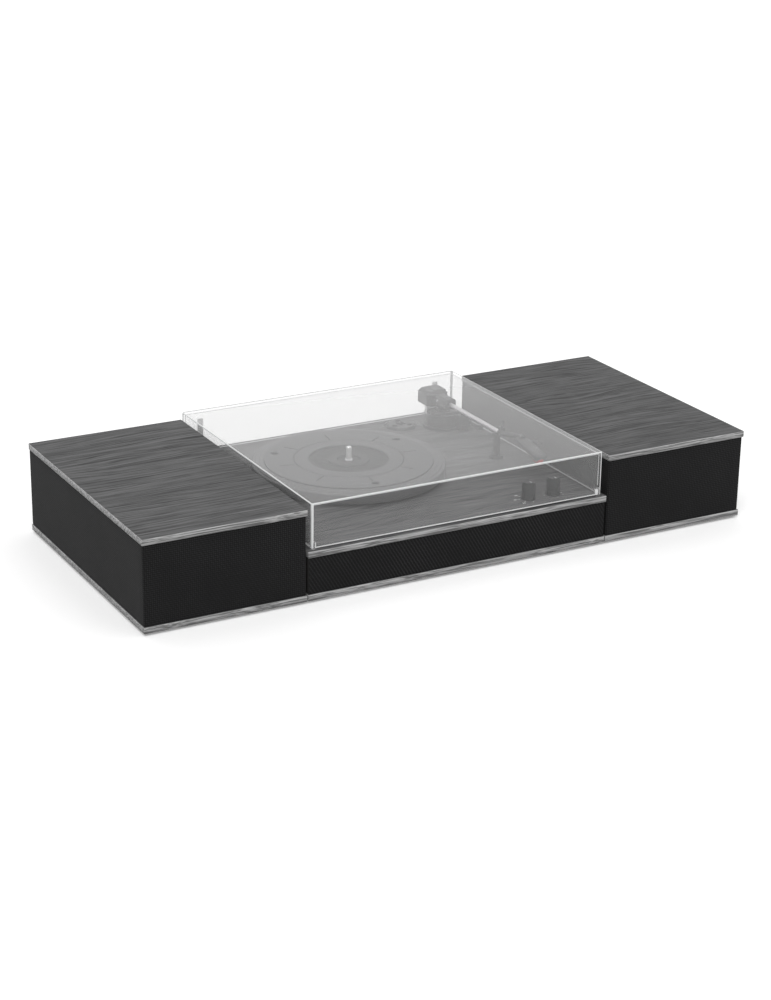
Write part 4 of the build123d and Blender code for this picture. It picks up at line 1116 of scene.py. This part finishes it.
class PLAYER_OT_inside(Step):
    """Finish the electronics inside the player and the drivers in the loudspeakers"""

    bl_idname = "player.inside"
    bl_label = "Inside"

    def make(self, scene):
        dress("amplifier_board", circuit("green board"))
        dress("board_parts", moulded("board components", (0.09, 0.09, 0.1), 0.4))
        dress("board_standoffs", moulded("standoff steel", (0.55, 0.55, 0.57), 0.3, 1.0))
        frame_black = moulded("driver frame paint", (0.05, 0.05, 0.052), 0.45, 0.3)
        paper = moulded("cone paper", (0.035, 0.034, 0.033), 0.9, fineness=700.0, relief=0.8, mottle=0.4)
        for side in ("left", "right"):
            dress(side + "_driver_frame", frame_black)
            dress(side + "_driver_cone", paper)


class PLAYER_OT_rear(Step):
    """Finish the rear panel, sockets, terminals, screws and feet"""

    bl_idname = "player.rear"
    bl_label = "Rear and feet"

    def make(self, scene):
        paint = moulded("rear panel paint", (0.025, 0.025, 0.026), 0.5, 0.2, fineness=1100.0, relief=0.4)
        plastic = moulded("terminal moulding", (0.022, 0.022, 0.023), 0.48, fineness=1700.0, relief=0.35)
        steel = moulded("screw steel", (0.32, 0.32, 0.33), 0.3, 1.0, relief=0.1)
        rubber = moulded("foot rubber", (0.018, 0.018, 0.018), 0.8, fineness=1300.0, relief=0.6)
        dress("rear_panel", paint)
        dress("power_inlet", plastic)
        dress("rear_sockets", moulded("plated socket", (0.72, 0.55, 0.25), 0.22, 1.0, relief=0.06))
        dress("cabinet_screws", steel)
        dress("player_feet", rubber)
        panel = high("rear_panel")
        spots = []
        for x in PANEL_SCREWS:
            for z in (low("rear_panel").z + 6 * MM, panel.z - 6 * MM):
                spots.append(((x * MM, panel.y, z), (0, 1, 0)))
        screws("panel_screws", spots, "cabinet", steel, 2.4, 1.2)
        jack = middle("rear_sockets")
        for name, shade, places in COLLARS:
            ink = moulded(name + " socket collar", shade, 0.35, relief=0.1)
            bm = bmesh.new()
            for x in places:
                mesh = ring_mesh("collar", (x * MM, panel.y + 0.9 * MM, jack.z), (0, 1, 0), 5.6, 0.9)
                bm.from_mesh(mesh)
            title = name + "_socket_collars"
            piece(title, finished(title, bm, 60.0), "cabinet", [ink])
        for side in ("left", "right"):
            dress(side + "_terminal_plate", plastic)
            dress(side + "_feet", rubber)
            a, b = low(side + "_terminal_plate"), high(side + "_terminal_plate")
            spots = []
            for x in (a.x + 3.2 * MM, b.x - 3.2 * MM):
                for z in (a.z + 3.2 * MM, b.z - 3.2 * MM):
                    spots.append(((x, b.y, z), (0, 1, 0)))
            name = side + "_terminal_screws"
            screws(name, spots, side + "_speaker", steel, 1.9, 0.9)


class PLAYER_OT_stage(Step):
    """Set the floor, the light and the camera"""

    bl_idname = "player.stage"
    bl_label = "Stage"

    def make(self, scene):
        stage = scene.player_stage
        self.floor(scene, stage)
        self.world(scene, stage)
        self.lamps(scene)
        self.camera(scene, stage)
        scene.view_settings.view_transform = "Standard"

    def floor(self, scene, stage):
        bm = bmesh.new()
        bmesh.ops.create_grid(bm, x_segments=1, y_segments=1, size=9.0)
        mesh = bpy.data.meshes.new("floor")
        bm.to_mesh(mesh)
        bm.free()
        floor = bpy.data.objects.new("floor", mesh)
        scene.collection.objects.link(floor)
        material, net, shader = blank("studio floor")
        net.feed(shader.inputs["Base Color"], tuple(stage.floor))
        shader.inputs["Roughness"].default_value = 1.0
        shader.inputs["Specular IOR Level"].default_value = 0.0
        light = net.add("ShaderNodeLightPath").outputs
        seen = net.math("MAXIMUM", light["Is Camera Ray"], light["Is Transmission Ray"])
        seen = net.math("MAXIMUM", seen, light["Is Glossy Ray"])
        net.feed(shader.inputs["Emission Color"], (1.0, 1.0, 1.0))
        net.feed(shader.inputs["Emission Strength"], net.math("MULTIPLY", seen, 0.24))
        mesh.materials.append(material)
        material.cycles.emission_sampling = "NONE"

    def world(self, scene, stage):
        world = bpy.data.worlds.new("studio")
        scene.world = world
        world.use_nodes = True
        net = Net(world.node_tree)
        back = world.node_tree.nodes["Background"]
        light = net.add("ShaderNodeLightPath").outputs
        seen = net.math("MAXIMUM", light["Is Camera Ray"], light["Is Transmission Ray"])
        soft = net.math("MAXIMUM", light["Is Glossy Ray"], stage.sky)
        net.feed(back.inputs["Color"], (1.0, 1.0, 1.0))
        net.feed(back.inputs["Strength"], net.math("MAXIMUM", seen, soft))

    def lamps(self, scene):
        for name, place, energy, spread, shines in LAMPS:
            lamp = bpy.data.lights.new(name, "SUN")
            lamp.angle = math.radians(spread)
            lamp.energy = energy
            obj = bpy.data.objects.new(name, lamp)
            obj.location = place
            obj.rotation_euler = (-Vector(place)).to_track_quat("-Z", "Y").to_euler()
            obj.visible_glossy = shines
            scene.collection.objects.link(obj)

    def camera(self, scene, stage):
        lens = bpy.data.cameras.new("camera")
        lens.lens = stage.lens
        lens.sensor_width = 36.0
        lens.clip_end = 50.0
        camera = bpy.data.objects.new("camera", lens)
        turn = Matrix((CAMERA_RIGHT, CAMERA_UP, -CAMERA_FORWARD)).transposed().to_4x4()
        camera.matrix_world = Matrix.Translation(Vector(stage.eye)) @ turn
        scene.collection.objects.link(camera)
        scene.camera = camera


class PLAYER_PT_steps(bpy.types.Panel):
    """The steps in the order that they run"""

    bl_label = "Record player"
    bl_idname = "PLAYER_PT_steps"
    bl_space_type = "VIEW_3D"
    bl_region_type = "UI"
    bl_category = "Record player"

    def draw(self, context):
        scene = context.scene
        for group in ("player_wood", "player_cloth", "player_cover", "player_deck", "player_stage"):
            box = self.layout.box()
            settings = getattr(scene, group)
            for key in settings.__annotations__:
                box.prop(settings, key)
        for step in STEPS:
            self.layout.operator(step.bl_idname)


STEPS = (
    PLAYER_OT_stage,
    PLAYER_OT_boards,
    PLAYER_OT_cloth,
    PLAYER_OT_cover,
    PLAYER_OT_turntable,
    PLAYER_OT_arm,
    PLAYER_OT_controls,
    PLAYER_OT_inside,
    PLAYER_OT_rear,
)
SETTINGS = {
    "player_wood": WoodSettings,
    "player_cloth": ClothSettings,
    "player_cover": CoverSettings,
    "player_deck": DeckSettings,
    "player_stage": StageSettings,
}


def register():
    for name, kind in SETTINGS.items():
        bpy.utils.register_class(kind)
        setattr(bpy.types.Scene, name, bpy.props.PointerProperty(type=kind))
    for kind in (*STEPS, PLAYER_PT_steps):
        bpy.utils.register_class(kind)


def unregister():
    for kind in (PLAYER_PT_steps, *reversed(STEPS)):
        bpy.utils.unregister_class(kind)
    for name, kind in SETTINGS.items():
        delattr(bpy.types.Scene, name)
        bpy.utils.unregister_class(kind)


def main():
    """Runs every step."""
    register()
    for step in STEPS:
        area, name = step.bl_idname.split(".")
        getattr(getattr(bpy.ops, area), name)()


if __name__ == "__main__":
    main()
